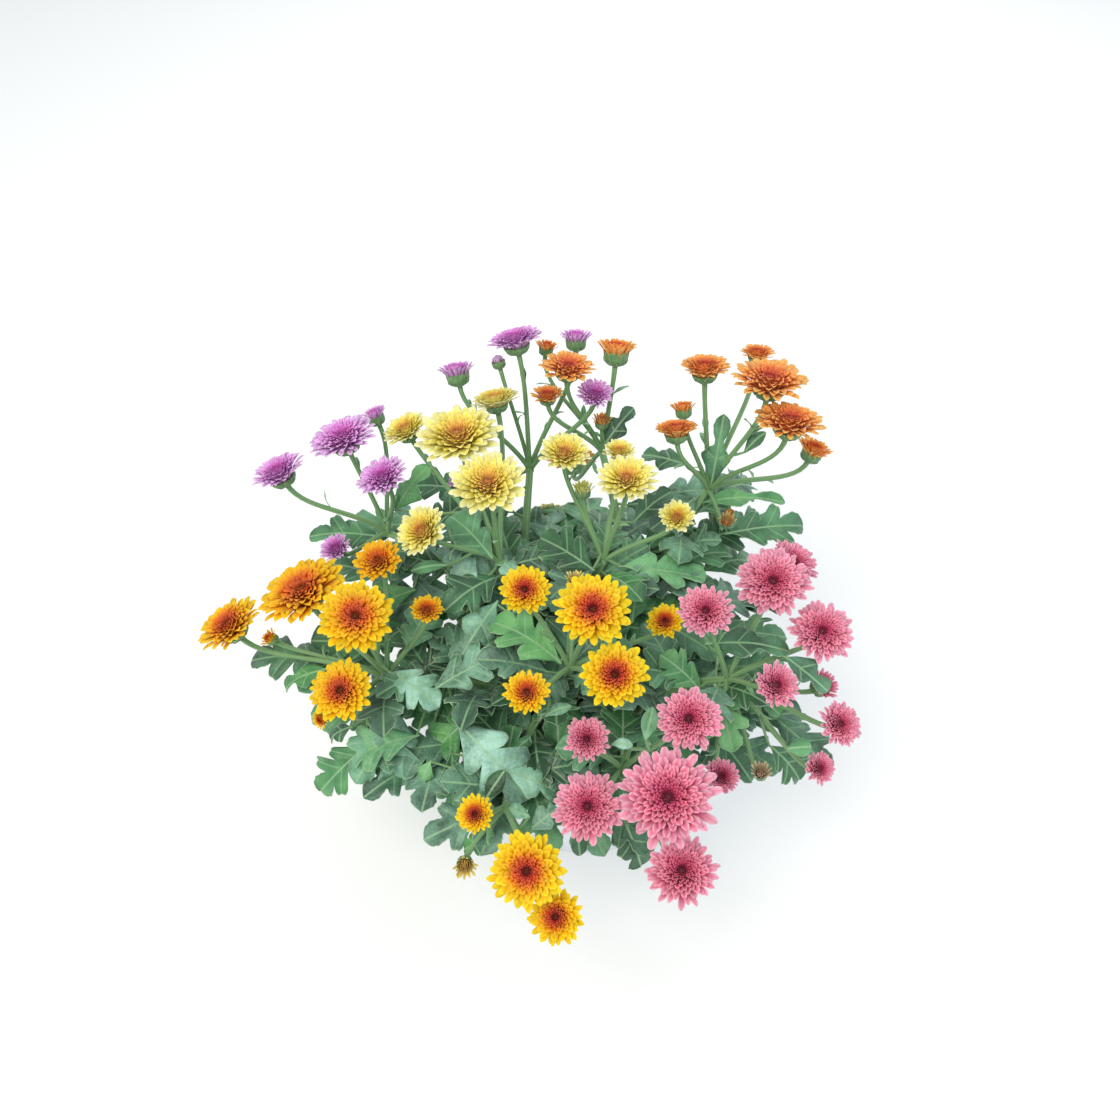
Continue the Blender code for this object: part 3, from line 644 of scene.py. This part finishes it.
def leafMaterial():
    # lobed leaf: dark green upper skin, pale veins, and a mint colour that is partly its grey down and partly painted
    # sheen where the light catches it
    material, tree, shader = newMaterial("chrysanthemum leaf, downy")
    blade = addNode(tree, "ShaderNodeAttribute", {"attribute_name": "bladePlace"})  # mm from midrib, along, mm from vein
    kind = addNode(tree, "ShaderNodeAttribute", {"attribute_name": "bladeKind"})  # down and painted sheen, tone, share of the half width
    at = addNode(tree, "ShaderNodeSeparateXYZ", links={0: blade.outputs["Vector"]})
    of = addNode(tree, "ShaderNodeSeparateXYZ", links={0: kind.outputs["Vector"]})
    where = addNode(tree, "ShaderNodeTexCoord")
    mottle = addNode(tree, "ShaderNodeTexNoise", {"Scale": 45.0, "Detail": 4.0}, {"Vector": where.outputs["Object"]})
    fine = addNode(tree, "ShaderNodeTexNoise", {"Scale": 380.0, "Detail": 3.0}, {"Vector": where.outputs["Object"]})
    hue = addNode(tree, "ShaderNodeMath", {"operation": "MULTIPLY_ADD", 1: 0.7, 2: -0.35}, {0: of.outputs["Y"]})
    shadeAt = addNode(tree, "ShaderNodeMath", {"operation": "ADD"}, {0: mottle.outputs[0], 1: hue.outputs[0]})
    green = addNode(tree, "ShaderNodeValToRGB",
                    {"stops": [(0.15, "1E4427"), (0.4, "2F6638"), (0.62, "458848"), (0.85, "66AC56")]},
                    {0: shadeAt.outputs[0]})
    streak = addNode(tree, "ShaderNodeMath", {"operation": "MULTIPLY_ADD", 1: 0.35}, {0: fine.outputs[0], 2: mottle.outputs[0]})
    # the mint colour in patches: partly the leaf's grey down, partly painted sheen, as much as each leaf's down value
    # gives
    downAndSheenPatches = addNode(tree, "ShaderNodeMapRange", {1: 0.5, 2: 0.9, 3: 0.25, 4: 1.25}, {0: streak.outputs[0]})
    downAndSheenShare = addNode(tree, "ShaderNodeMath", {"operation": "MULTIPLY", "use_clamp": True},
                        {0: downAndSheenPatches.outputs[0], 1: of.outputs["X"]})
    mintDownAndSheen = addNode(tree, "ShaderNodeMix", {"data_type": "RGBA", 7: linear("A2D2BE")},
                   {0: downAndSheenShare.outputs[0], 6: green.outputs[0]})
    off = addNode(tree, "ShaderNodeMath", {"operation": "ABSOLUTE"}, {0: at.outputs["X"]})
    midrib = addNode(tree, "ShaderNodeMapRange", {1: 1.1, 2: 0.35, 3: 0.0, 4: 0.75}, {0: off.outputs[0]})
    sideVein = addNode(tree, "ShaderNodeMapRange", {1: 0.75, 2: 0.2, 3: 0.0, 4: 0.6}, {0: at.outputs["Z"]})
    veins = addNode(tree, "ShaderNodeMath", {"operation": "MAXIMUM"}, {0: midrib.outputs[0], 1: sideVein.outputs[0]})
    veined = addNode(tree, "ShaderNodeMix", {"data_type": "RGBA", 7: linear("93BD8C")},
                     {0: veins.outputs[0], 6: mintDownAndSheen.outputs[2]})
    rim = addNode(tree, "ShaderNodeMapRange", {1: 0.93, 2: 1.0, 3: 0.0, 4: 0.55}, {0: of.outputs["Z"]})
    rimmed = addNode(tree, "ShaderNodeMix", {"data_type": "RGBA", 7: linear("B5D3A8")},
                     {0: rim.outputs[0], 6: veined.outputs[2]})
    net = addNode(tree, "ShaderNodeTexVoronoi", {"Scale": 330.0, "feature": "DISTANCE_TO_EDGE"},
                  {"Vector": where.outputs["Object"]})  # the net of small veins, about 3 mm across
    relief = addNode(tree, "ShaderNodeMath", {"operation": "ADD"}, {0: net.outputs[0], 1: fine.outputs[0]})
    bump = addNode(tree, "ShaderNodeBump", {"Strength": 0.5, "Distance": 0.0009}, {"Height": relief.outputs[0]})
    tree.links.new(rimmed.outputs[2], shader.inputs["Base Color"])
    tree.links.new(bump.outputs[0], shader.inputs["Normal"])
    shader.inputs["Roughness"].default_value = 0.42
    shader.inputs["Specular IOR Level"].default_value = 0.5
    shader.inputs["Sheen Weight"].default_value = 0.15
    shader.inputs["Sheen Roughness"].default_value = 0.5
    shader.inputs["Sheen Tint"].default_value = linear("D8F0E6")
    return material


# Leaf outline: side lobes between two shares of the length, each measured along its own vein. lobes: how far the
# side lobes reach, by how many pairs there are. end: half width of the end lobe. lean: how square the lobes end
leafForm = {"from": 0.12, "to": 0.62, "cleft": {1: 0.5, 2: 0.34}, "lobes": {1: (0.9,), 2: (0.8, 0.95)}, "end": {1: 0.66, 2: 0.54},
            "round": 2.7, "lean": 0.6, "sweep": 0.72, "teeth": 0.035}
lanceAt = (0, 0.05, 0.14, 0.3, 0.5, 0.7, 0.85, 0.95, 1)
lanceWidth = (0.12, 0.22, 0.42, 0.8, 1.0, 0.86, 0.56, 0.28, 0.03)


def lobedHalf(t, pairs, slimness, wave, uneven):
    # half width at t along a lobed leaf, how far its row leans forward, and which lobe it is in
    span = (leafForm["to"] - leafForm["from"]) / pairs
    lobe = (t - leafForm["from"]) / span
    cleft = leafForm["cleft"][pairs]
    shoulder = cleft + 0.1
    if lobe < 0:
        return blend(0.07, shoulder, float(smooth(0.35, 1.05, t / leafForm["from"]))), 1, lobe
    if lobe < pairs:
        part = lobe % 1
        bulge = max(0, 1 - abs(2 * part - 1) ** leafForm["round"]) ** (1 / leafForm["round"])
        half = blend(cleft, leafForm["lobes"][pairs][int(lobe)] * (1 + 0.1 * uneven), bulge)
        half -= (part - 0.5) * span * leafForm["lean"] * slimness
        half = max(half, 0.75 * cleft) * (1 + leafForm["teeth"] * math.sin(math.tau * 2 * part + wave))
        if lobe < 0.35:
            half = blend(shoulder, half, float(smooth(0, 0.35, lobe)))
        return half, 1, lobe
    part = min(1, (t - leafForm["to"]) / (1 - leafForm["to"]))
    half = leafForm["end"][pairs] * max(0, 1 - abs((part - 0.42) / 0.58) ** 2.2) ** 0.6
    half = max(half, 0.75 * cleft * (1 - part) ** 2, 0.02)
    return half * (1 + 1.3 * leafForm["teeth"] * math.sin(math.tau * 3 * part + wave)), 1 - part, lobe


def addLeaf(bm, base, tip, width, down=0.1, lobes=3, seed=0, facing=None, tone=None, grain=(44, 6)):
    # a grid whose rows run along the side veins: wide at the lobes, narrow where the leaf is cut in
    place = bm.verts.layers.float_vector["bladePlace"]
    kind = bm.verts.layers.float_vector["bladeKind"]
    rng = np.random.default_rng([seed, 5])
    jitter = rng.uniform(-1, 1, 10)
    ahead = tip - base
    length = ahead.length
    ahead.normalize()
    if facing is None:
        facing = Vector((0.25 * jitter[8], 0.25 * jitter[9], 1)) + 0.6 * (viewpoint - base).normalized()
    side = ahead.cross(facing).normalized()
    top = side.cross(ahead)
    tone = rng.uniform(0.1, 0.9) if tone is None else tone
    pairs = lobes - 1
    rows, columns = grain if lobes > 2 else (30, 4) if lobes else (12, 4)
    fold = 0.3 + 0.16 * jitter[0]
    arch = 0.1 + 0.07 * jitter[1]
    broad = width * mm / 2
    grid = bmesh.ops.create_grid(bm, x_segments=columns, y_segments=rows, size=1)["verts"]
    for vert in grid:
        s, t = vert.co.x, (vert.co.y + 1) / 2
        hand = 1 if s > 0 else -1
        gap, lift, forward = 9.0, 0, 0.2
        if lobes:
            half, lean, lobe = lobedHalf(t, pairs, length / broad, jitter[4], hand * jitter[2])
            forward = leafForm["sweep"] * lean
            if 0 <= lobe < pairs:
                gap = abs(lobe % 1 - 0.5) * (leafForm["to"] - leafForm["from"]) / pairs * length / mm * 0.75
                lift = jitter[4 + 2 * int(lobe) + (hand > 0)] * (1 - abs(2 * (lobe % 1) - 1) ** 2)
        else:
            half = np.interp(t, lanceAt, lanceWidth)
        reach = abs(s) * half * broad
        rise = math.sin(math.pi * min(t, 1)) * arch * length
        ripple = 0.09 * broad * math.sin(math.tau * (1.6 * t + jitter[5]) + hand) * abs(s) ** 2
        quilt = 1.1 * mm * (1 - math.exp(-(gap / 2.2) ** 2)) * min(1, reach / (3 * mm)) if lobes else 0
        droop = (0.26 * lift - 0.24) * reach * reach / broad
        vert[place] = (reach / mm * hand, t, gap)
        # down sets the mint colour: the grey down together with a painted sheen
        vert[kind] = (down, tone, abs(s))
        vert.co = (base + ahead * (length * t + reach * forward)
                   + side * hand * reach * math.cos(fold)
                   + top * (rise + reach * math.sin(fold) + ripple + quilt + droop))


def newLeaves():
    bm = bmesh.new()
    bm.verts.layers.float_vector.new("bladePlace")
    bm.verts.layers.float_vector.new("bladeKind")
    return bm


# Leaves that the view shows: base across, down, height; tip across, down, height; width, down and painted sheen, lobes
shownLeaves = {
    "mauve": [(383, 537, 202, 309, 537, 196, 30, 0.1, 3)],
    "yellow": [(493, 559, 238, 450, 516, 252, 38, 0.2, 3), (595, 571, 232, 540, 538, 240, 40, 0.05, 3),
               (618, 566, 226, 706, 579, 206, 34, 0.25, 3), (632, 524, 240, 672, 492, 252, 24, 0.1, 2),
               (478, 588, 224, 448, 552, 236, 24, 0.8, 2), (395, 512, 235, 430, 465, 262, 20, 0.2, 2),
               (448, 565, 240, 411, 571, 235, 10, 0.1, 0), (520, 580, 222, 498, 560, 228, 18, 0.7, 2)],
    "bronze": [(724, 534, 215, 803, 526, 205, 38, 0.1, 3), (700, 503, 222, 785, 503, 214, 20, 0.15, 2),
               (711, 485, 236, 724, 414, 285, 20, 0.2, 2), (687, 465, 240, 642, 455, 238, 22, 0.15, 2),
               (604, 446, 248, 634, 408, 272, 20, 0.15, 2), (744, 453, 262, 766, 432, 275, 12, 0.2, 0)],
    "golden": [(337, 663, 182, 251, 661, 172, 34, 0.1, 3), (388, 671, 196, 439, 708, 186, 34, 0.9, 3),
               (435, 689, 196, 508, 652, 212, 36, 0.6, 3), (396, 704, 180, 394, 787, 132, 42, 0.6, 3),
               (370, 742, 160, 321, 791, 118, 36, 0.1, 3), (455, 720, 196, 528, 800, 152, 46, 1.0, 3),
               (451, 750, 158, 453, 812, 118, 30, 0.2, 3), (562, 664, 212, 490, 622, 218, 40, 0.15, 3),
               (496, 834, 146, 464, 850, 132, 22, 0.0, 2), (530, 830, 158, 559, 809, 168, 20, 0.7, 2),
               (330, 668, 188, 286, 689, 165, 20, 0.05, 2), (498, 600, 225, 455, 667, 200, 28, 0.7, 2),
               (353, 726, 170, 331, 740, 155, 14, 0.1, 2), (431, 760, 160, 421, 785, 140, 14, 0.2, 2),
               (485, 800, 170, 505, 770, 185, 14, 0.0, 0), (530, 818, 165, 507, 808, 165, 12, 0.9, 0),
               (545, 716, 225, 572, 706, 228, 9, 0.8, 0), (505, 770, 178, 556, 792, 160, 26, 0.85, 2),
               (488, 778, 172, 470, 822, 148, 24, 0.4, 2), (545, 770, 170, 600, 778, 160, 26, 0.6, 2),
               (420, 735, 168, 352, 762, 140, 36, 0.35, 3), (405, 655, 190, 432, 600, 205, 30, 0.3, 3)],
    "coral": [(704, 644, 226, 790, 652, 222, 26, 0.1, 2), (715, 683, 204, 733, 752, 184, 32, 0.15, 3),
              (783, 655, 226, 828, 692, 216, 22, 0.2, 2), (768, 744, 156, 799, 780, 132, 30, 0.1, 3),
              (625, 822, 150, 641, 866, 122, 28, 0.1, 2), (700, 690, 196, 660, 655, 214, 32, 0.15, 3),
              (575, 825, 160, 580, 856, 140, 14, 0.1, 0), (611, 744, 215, 633, 746, 215, 9, 0.9, 0),
              (645, 740, 220, 653, 707, 235, 12, 0.6, 0), (786, 749, 190, 812, 747, 190, 14, 0.2, 0)],
}
# Leaves low on the far side: heading, reach and height of base, reach and height of tip, width
farLeaves = {
    "mauve": [(236, 120, 178, 186, 150, 34), (205, 118, 186, 168, 140, 32), (252, 92, 176, 160, 158, 34),
              (220, 78, 200, 140, 186, 34)],
    "bronze": [(166, 118, 184, 180, 146, 36), (128, 112, 180, 176, 150, 34), (108, 108, 176, 172, 158, 32),
               (147, 80, 204, 150, 186, 34), (92, 88, 184, 150, 176, 30)],
    "yellow": [(188, 96, 190, 164, 160, 34), (175, 70, 205, 128, 190, 32)],
    "golden": [(285, 84, 172, 150, 146, 34), (305, 90, 170, 152, 140, 34)],
    "coral": [(72, 92, 172, 150, 148, 32), (50, 96, 170, 152, 138, 32)],
}
# Outline, in picture pixels, of what the leaves fill; leaves in the depth of the plant stay inside it
leafyOutline = [(392, 505), (440, 478), (520, 505), (560, 530), (640, 508), (690, 480), (740, 486), (775, 512),
                (735, 545), (690, 570), (715, 600), (765, 640), (825, 690), (800, 775), (760, 785), (705, 750),
                (640, 850), (560, 842), (475, 845), (432, 785), (335, 775), (345, 715), (270, 660), (335, 640),
                (352, 570)]


def insideOutline(point):
    x, y = picturePlace(point)
    inside = False
    for (x1, y1), (x2, y2) in zip(leafyOutline, leafyOutline[1:] + leafyOutline[:1]):
        if (y1 > y) != (y2 > y) and x < (x2 - x1) * (y - y1) / (y2 - y1) + x1:
            inside = not inside
    return inside


def shareOut(spacing):  # a staggered grid of leaf places inside the outline, each to the nearest plant
    rng = np.random.default_rng(40)
    places = {name: [] for name in plants}
    left, low = min(x for x, y in leafyOutline), min(y for x, y in leafyOutline)
    for row in range(13):
        for column in range(17):
            across = left + spacing * (column + 0.5 * (row % 2)) + rng.uniform(-7, 7)
            down = low + spacing * 0.85 * (row + 0.5) + rng.uniform(-7, 7)
            height = blend(188, 138, float(smooth(560, 800, down))) + rng.uniform(-9, 9)
            point = sightPoint(across, down, height)
            if insideOutline(point):
                places[nearestPlant(point)].append(point)
    for i in range(26):  # round the back, below what the view shows
        point = planPoint(97 + 9 * i * 0.7 + rng.uniform(-4, 4), rng.uniform(70, 135), rng.uniform(152, 186))
        if insideOutline(point):
            places[nearestPlant(point)].append(point)
    return places


def nearestPlant(point):
    return min(plants, key=lambda name: math.hypot(point.x / mm - plants[name]["crown"][0],
                                                   point.y / mm - plants[name]["crown"][1]))


lowerPlaces = shareOut(42)


def growPlant(name, plantNumber):
    plant = plants[name]
    rng = np.random.default_rng([plantNumber, 11])
    crown = Vector((plant["crown"][0], plant["crown"][1], 0)) * mm + Vector((0, 0, soilTop))
    forks = {}
    for fork, place in plant["forks"].items():
        forks[fork] = sightPoint(*place) if place else planPoint(*backFork)
    youngHeads = []
    for fork, across, down, height, width, turn, direction, opened in plant["young"]:
        point = sightPoint(across, down, height)
        youngHeads.append((fork, (point, turnedAxis(point, turn, direction), width * mm / 2, opened)))
    names = sorted(node for node in heads if node.startswith(name))
    order = [fork.strip() for fork, count in plant["blooms"].items() for i in range(count)]
    standing = [(fork, heads[node], True) for fork, node in zip(order, names)]
    standing += [(fork, head, False) for fork, head in youngHeads]

    bm = bmesh.new()
    bm.verts.layers.float_vector.new("stemPlace")
    foot = Vector((0, 0, -20 * mm))
    addStem(bm, [crown + foot, crown, crown + Vector((0, 0, 8 * mm)), crown + Vector((0, 0, 12 * mm))],
            [4.2 * mm, 4.3 * mm, 3.9 * mm, 2.2 * mm])
    paths = []
    shoots = []
    for fork, place in forks.items():
        start = crown + Vector((0, 0, 7.2 * mm))
        lead = start + Vector((0, 0, 12 * mm)) + (place - start) * 0.18
        arch = Vector((0, 0, 0.12 * (place - start).length))
        shoot = bezier(start, lead, blend(start, place, 0.72) + arch, place, 14)
        addStem(bm, shoot, list(np.linspace(3.3, 2.7, 15) * mm))
        addStem(bm, [place - Vector((0, 0, 3 * mm)), place, place + Vector((0, 0, 3 * mm))],
                [2.2 * mm, 3.4 * mm, 2.0 * mm])
        paths += shoot[2:]
        shoots.append(shoot)
    stalks = []
    for fork, (centre, axis, radius, opened), own in standing:
        end = centre - axis * blend(1.15, 0.44, opened) * radius
        start = forks[fork] + (forks[fork] - end).normalized() * 1.15 * mm
        reach = (end - start).length
        lead = blend(start, end, 0.3) + Vector((0, 0, 0.12 * reach))
        stalk = bezier(start, lead, end - axis * reach * 0.3, end + axis * 0.4 * mm, 14)
        girth = np.interp(np.linspace(0, 1, 15), (0, 0.1, 0.8, 1), (2.3, 1.95, 1.75, 2.1))
        addStem(bm, stalk, list(girth * mm * min(1.0, 0.75 + radius / (60 * mm))))
        stalks.append((stalk, radius))
        paths += stalk[:6]

    leaves = newLeaves()
    placed = [(sightPoint(*row[:3]), sightPoint(*row[3:6]), *row[6:]) for row in shownLeaves[name]]
    placed += [(planPoint(row[0], row[1], row[2]), planPoint(row[0], row[3], row[4]), row[5],
                float(rng.uniform(0, 0.35)), 3) for row in farLeaves[name]]
    for count, (base, tip, width, down, lobes) in enumerate(placed):
        root = min(paths, key=lambda point: (point - base).length + 0.5 * abs(point.z - base.z))
        inward = base + (tip - base) * 0.05
        sag = (root + inward) / 2 - Vector((0, 0, 0.08 * (root - inward).length))
        addStem(bm, bezier(root, sag, sag, inward, 6), list(np.linspace(1.35, 0.8, 7) * mm), 6, 3)
        addLeaf(leaves, base, tip, width, down, lobes, plantNumber * 100 + count)
    # leaves lower in the plant, so that it is full wherever the view looks into it
    for count, middle in enumerate(lowerPlaces[name]):
        away = Vector((middle.x, middle.y, 0)).normalized()
        away.rotate(Matrix.Rotation(rng.uniform(-0.7, 0.7), 3, "Z"))
        size = rng.uniform(50, 64) * mm
        lean = Vector((0, 0, rng.uniform(-0.45, 0.1)))
        base, tip = middle - (away + lean) * size * 0.5, middle + (away + lean) * size * 0.5
        root = min(paths, key=lambda point: (point - base).length + 0.5 * abs(point.z - base.z))
        inward = blend(base, tip, 0.05)
        sag = (root + inward) / 2 - Vector((0, 0, 0.05 * (root - inward).length))
        addStem(bm, bezier(root, sag, sag, inward, 5), list(np.linspace(1.3, 0.8, 6) * mm), 6, 3)
        addLeaf(leaves, base, tip, size / mm * rng.uniform(0.6, 0.74), float(rng.uniform(0, 0.5)), 3,
                plantNumber * 100 + 60 + count, tone=float(rng.uniform(0, 0.7)), grain=(28, 4))
    # leaves in the depth of the plant, up the shoots by the golden turn
    turn = plantNumber * 1.3
    for shoot in shoots:
        for i in range(4, len(shoot)):
            turn += goldenTurn
            base = shoot[i]
            size = rng.uniform(42, 66) * mm
            lean = rng.uniform(0.0, 0.45)
            away = Vector((math.cos(turn), math.sin(turn), 0)) + 0.4 * (base - crown).normalized()
            tip = base + (away.normalized() + Vector((0, 0, lean - 0.15))).normalized() * size
            tip.z = min(tip.z, 222 * mm)
            if tip.z < 150 * mm or not insideOutline(tip) or math.hypot(tip.x, tip.y) > 175 * mm:
                continue
            joint = blend(base, tip, 0.22)
            addStem(bm, bezier(base, blend(base, joint, 0.4), blend(base, joint, 0.7), joint, 4),
                    list(np.linspace(1.3, 0.8, 5) * mm), 6, 3)
            addLeaf(leaves, blend(base, tip, 0.18), tip, size / mm * rng.uniform(0.52, 0.66),
                    float(rng.uniform(0.0, 0.4)), 3, plantNumber * 100 + 40 + i, tone=float(rng.uniform(0, 0.5)))
    # narrow bract leaves on the flower stalks
    for stalk, radius in stalks:
        for share in rng.uniform(0.25, 0.75, 1 if radius < 14 * mm else 2):
            i = int(share * 14)
            ahead = (stalk[i + 1] - stalk[i]).normalized()
            out = ahead.orthogonal().normalized()
            out.rotate(Matrix.Rotation(rng.uniform(0, math.tau), 3, ahead))
            size = rng.uniform(9, 17) * mm
            tip = stalk[i] + (out + ahead * rng.uniform(0.5, 1.2)).normalized() * size
            addLeaf(leaves, stalk[i], tip, size / mm * 0.34, float(rng.uniform(0, 0.5)), 0, i, facing=ahead)
    stems = finishPiece(name + "_stems", bm, stemFinish, [name + "_stems_and_leaves"])
    blades = finishPiece(name + "_leaves", leaves, leafFinish)
    solid = blades.modifiers.new("thickness", "SOLIDIFY")
    solid.thickness = 0.45 * mm
    solid.offset = -1
    joined = bmesh.new()
    for i, (fork, head) in enumerate(youngHeads):
        mesh = growHead(name, head, [plantNumber, i, 3])
        joined.from_mesh(mesh)
        bpy.data.meshes.remove(mesh)
    mesh = bpy.data.meshes.new("buds")
    joined.to_mesh(mesh)
    joined.free()
    addPiece(name + "_buds", mesh, [petalFinishes[name], calyxFinish])


stemFinish, leafFinish, calyxFinish = stemMaterial(), leafMaterial(), calyxMaterial()
petalFinishes = {variety: petalMaterial(variety, colours) for variety, colours in petalColours.items()}
lateBlooms = {"golden_flower_01": 0.3, "golden_flower_02": 0.4, "golden_flower_03": 0.6, "golden_flower_04": 0.2,
              "golden_flower_05": 0.5, "golden_flower_06": 0.2, "golden_flower_11": 0.2}
heads = {}
for number, node in enumerate(sorted(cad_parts)):
    if "_flower_" in node:
        variety = node.split("_")[0]
        heads[node] = headOf(node)
        mesh = growHead(variety, heads[node], number, lateBlooms.get(node, 0.0))
        addPiece(node.replace("_flower_", "_bloom_"), mesh, [petalFinishes[variety], calyxFinish],
                 [node])
print("stage:", len(heads), "open blooms")
for plantNumber, name in enumerate(plants):
    growPlant(name, plantNumber)
    print("stage:", name, "stems, leaves and buds")

# Potting soil

soilSpec = {"edge": 136 * mm, "top": 141 * mm, "radius": 94.7 * mm, "crumbs": 320}


def makeSoil():
    # damp peat: nearly black brown, crumbly at 1 to 4 mm
    material, tree, shader = newMaterial("potting peat, crumbly")
    where = addNode(tree, "ShaderNodeTexCoord")
    coarse = addNode(tree, "ShaderNodeTexNoise", {"Scale": 260.0, "Detail": 6.0, "Roughness": 0.7},
                     {"Vector": where.outputs["Object"]})
    brown = addNode(tree, "ShaderNodeValToRGB",
                    {"stops": [(0.3, "17110D"), (0.5, "2B2019"), (0.68, "43342A"), (0.8, "5B493B")]},
                    {0: coarse.outputs[0]})
    bump = addNode(tree, "ShaderNodeBump", {"Strength": 0.9, "Distance": 0.0015}, {"Height": coarse.outputs[0]})
    tree.links.new(brown.outputs[0], shader.inputs["Base Color"])
    tree.links.new(bump.outputs[0], shader.inputs["Normal"])
    shader.inputs["Roughness"].default_value = 0.95
    rng = np.random.default_rng(21)
    bm = bmesh.new()
    spread = [i / 26 for i in range(27)]
    rim = soilSpec["radius"]
    profile = [(rim * s, blend(soilSpec["top"], soilSpec["edge"], s ** 3)) for s in spread]
    profile += [(rim - 0.6 * mm, soilSpec["edge"] - 6 * mm), (0, soilSpec["edge"] - 6 * mm)]
    points = [bm.verts.new((radius, 0, height)) for radius, height in profile]
    edges = [bm.edges.new(pair) for pair in zip(points, points[1:])]
    bmesh.ops.spin(bm, geom=points + edges, cent=(0, 0, 0), axis=(0, 0, 1), angle=math.tau, steps=72, use_merge=True)
    bmesh.ops.remove_doubles(bm, verts=bm.verts, dist=1e-6)
    bmesh.ops.recalc_face_normals(bm, faces=bm.faces)
    for vert in bm.verts:
        if vert.co.z > soilSpec["edge"] - 5 * mm:
            rough = noise.noise(vert.co * 90) * 2.2 + noise.noise(vert.co * 300) * 1.1
            vert.co.z += rough * mm * min(1, (rim - math.hypot(vert.co.x, vert.co.y)) / (4 * mm) + 0.2)
    for i in range(soilSpec["crumbs"]):
        turn, reach = i * goldenTurn, rim * 0.97 * math.sqrt((i + 0.5) / soilSpec["crumbs"])
        size = rng.uniform(0.8, 2.6) * mm
        level = blend(soilSpec["top"], soilSpec["edge"], (reach / rim) ** 3)
        spot = Vector((reach * math.cos(turn), reach * math.sin(turn), level + 0.4 * size))
        shape = Matrix.Translation(spot) @ Matrix.Rotation(rng.uniform(0, 6), 4, Vector(rng.normal(size=3)).normalized())
        shape = shape @ Matrix.Diagonal((size * rng.uniform(0.7, 1.5), size, size * rng.uniform(0.6, 1), 1))
        bmesh.ops.create_icosphere(bm, subdivisions=1, radius=1, matrix=shape)
    return finishPiece("soil_surface", bm, material, ["potting_soil"])


makeSoil()
print("stage: soil")

# Pot

potSpec = {"height": 150, "rim": 102.5, "foot": 76, "wall": 2.2, "floor": 3, "collar": 24, "step": 3, "lip": 4}


def makePot():
    # injection moulded polypropylene: white, faintly blue, satin, with a soft sheen on the rolled rim
    material, tree, shader = newMaterial("white polypropylene, moulded")
    where = addNode(tree, "ShaderNodeTexCoord")
    haze = addNode(tree, "ShaderNodeTexNoise", {"Scale": 14.0, "Detail": 3.0}, {"Vector": where.outputs["Object"]})
    white = addNode(tree, "ShaderNodeValToRGB", {"stops": [(0.3, "E4E9F1"), (0.7, "F1F4F8")]}, {0: haze.outputs[0]})
    grain = addNode(tree, "ShaderNodeTexNoise", {"Scale": 1600.0, "Detail": 2.0}, {"Vector": where.outputs["Object"]})
    bump = addNode(tree, "ShaderNodeBump", {"Strength": 0.08, "Distance": 0.0002}, {"Height": grain.outputs[0]})
    tree.links.new(white.outputs[0], shader.inputs["Base Color"])
    tree.links.new(bump.outputs[0], shader.inputs["Normal"])
    shader.inputs["Roughness"].default_value = 0.32
    s = potSpec
    top, foot, rim, wall = s["height"], s["foot"], s["rim"], s["wall"]
    slope = (rim - s["step"] - foot) / top
    outer = lambda z: foot + slope * z
    collar = top - s["collar"]
    profile = [(0, 0), (foot - 8, 0), (foot - 7, 1.2), (foot - 3.5, 1.2), (foot - 2.5, 0), (foot - 1.2, 0),
               (foot - 0.3, 0.5), (foot, 1.5), (outer(40), 40), (outer(80), 80), (outer(collar - 2), collar - 2),
               (outer(collar) + 0.3, collar - 0.6), (rim - 2.2, collar + 0.2), (rim - 1.2, collar + 0.8),
               (rim - 0.9, collar + 2), (rim - 0.4, top - 6), (rim - 0.1, top - 4.6), (rim, top - 3),
               (rim - 0.2, top - 1.2), (rim - 0.9, top - 0.3), (rim - 1.9, top), (rim - 3.0, top - 0.2),
               (rim - s["lip"], top - 1.2), (rim - s["step"] - wall, top - 3.4)]
    profile += [(outer(z) - wall, z) for z in (120, 80, 40, 6)]
    profile += [(foot - wall - 1, s["floor"] + 0.6), (foot - wall - 3, s["floor"]), (0, s["floor"])]
    bm = bmesh.new()
    points = [bm.verts.new((radius * mm, 0, height * mm)) for radius, height in profile]
    edges = [bm.edges.new(pair) for pair in zip(points, points[1:])]
    bmesh.ops.spin(bm, geom=points + edges, cent=(0, 0, 0), axis=(0, 0, 1), angle=math.tau, steps=96, use_merge=True)
    bmesh.ops.remove_doubles(bm, verts=bm.verts, dist=1e-6)
    bmesh.ops.recalc_face_normals(bm, faces=bm.faces)
    pot = finishPiece("planter_pot", bm, material, ["pot"], 38)
    bm = bmesh.new()
    for i in range(6):
        place = Matrix.Rotation(math.tau * (i + 0.5) / 6, 4, "Z") @ Matrix.Translation((55 * mm, 0, 0))
        bmesh.ops.create_cone(bm, cap_ends=True, segments=20, radius1=5 * mm, radius2=5 * mm, depth=20 * mm,
                              matrix=place)
    holes = bpy.data.meshes.new("drainHoles")
    bm.to_mesh(holes)
    bm.free()
    punch = bpy.data.objects.new("drainHoles", holes)
    bpy.context.scene.collection.objects.link(punch)
    step = pot.modifiers.new("drain", "BOOLEAN")
    step.operation = "DIFFERENCE"
    step.object = punch
    cut = bpy.data.meshes.new_from_object(pot.evaluated_get(bpy.context.evaluated_depsgraph_get()))
    pot.modifiers.clear()
    pot.data = cut
    bpy.data.objects.remove(punch)
    return pot


makePot()
print("stage: pot")
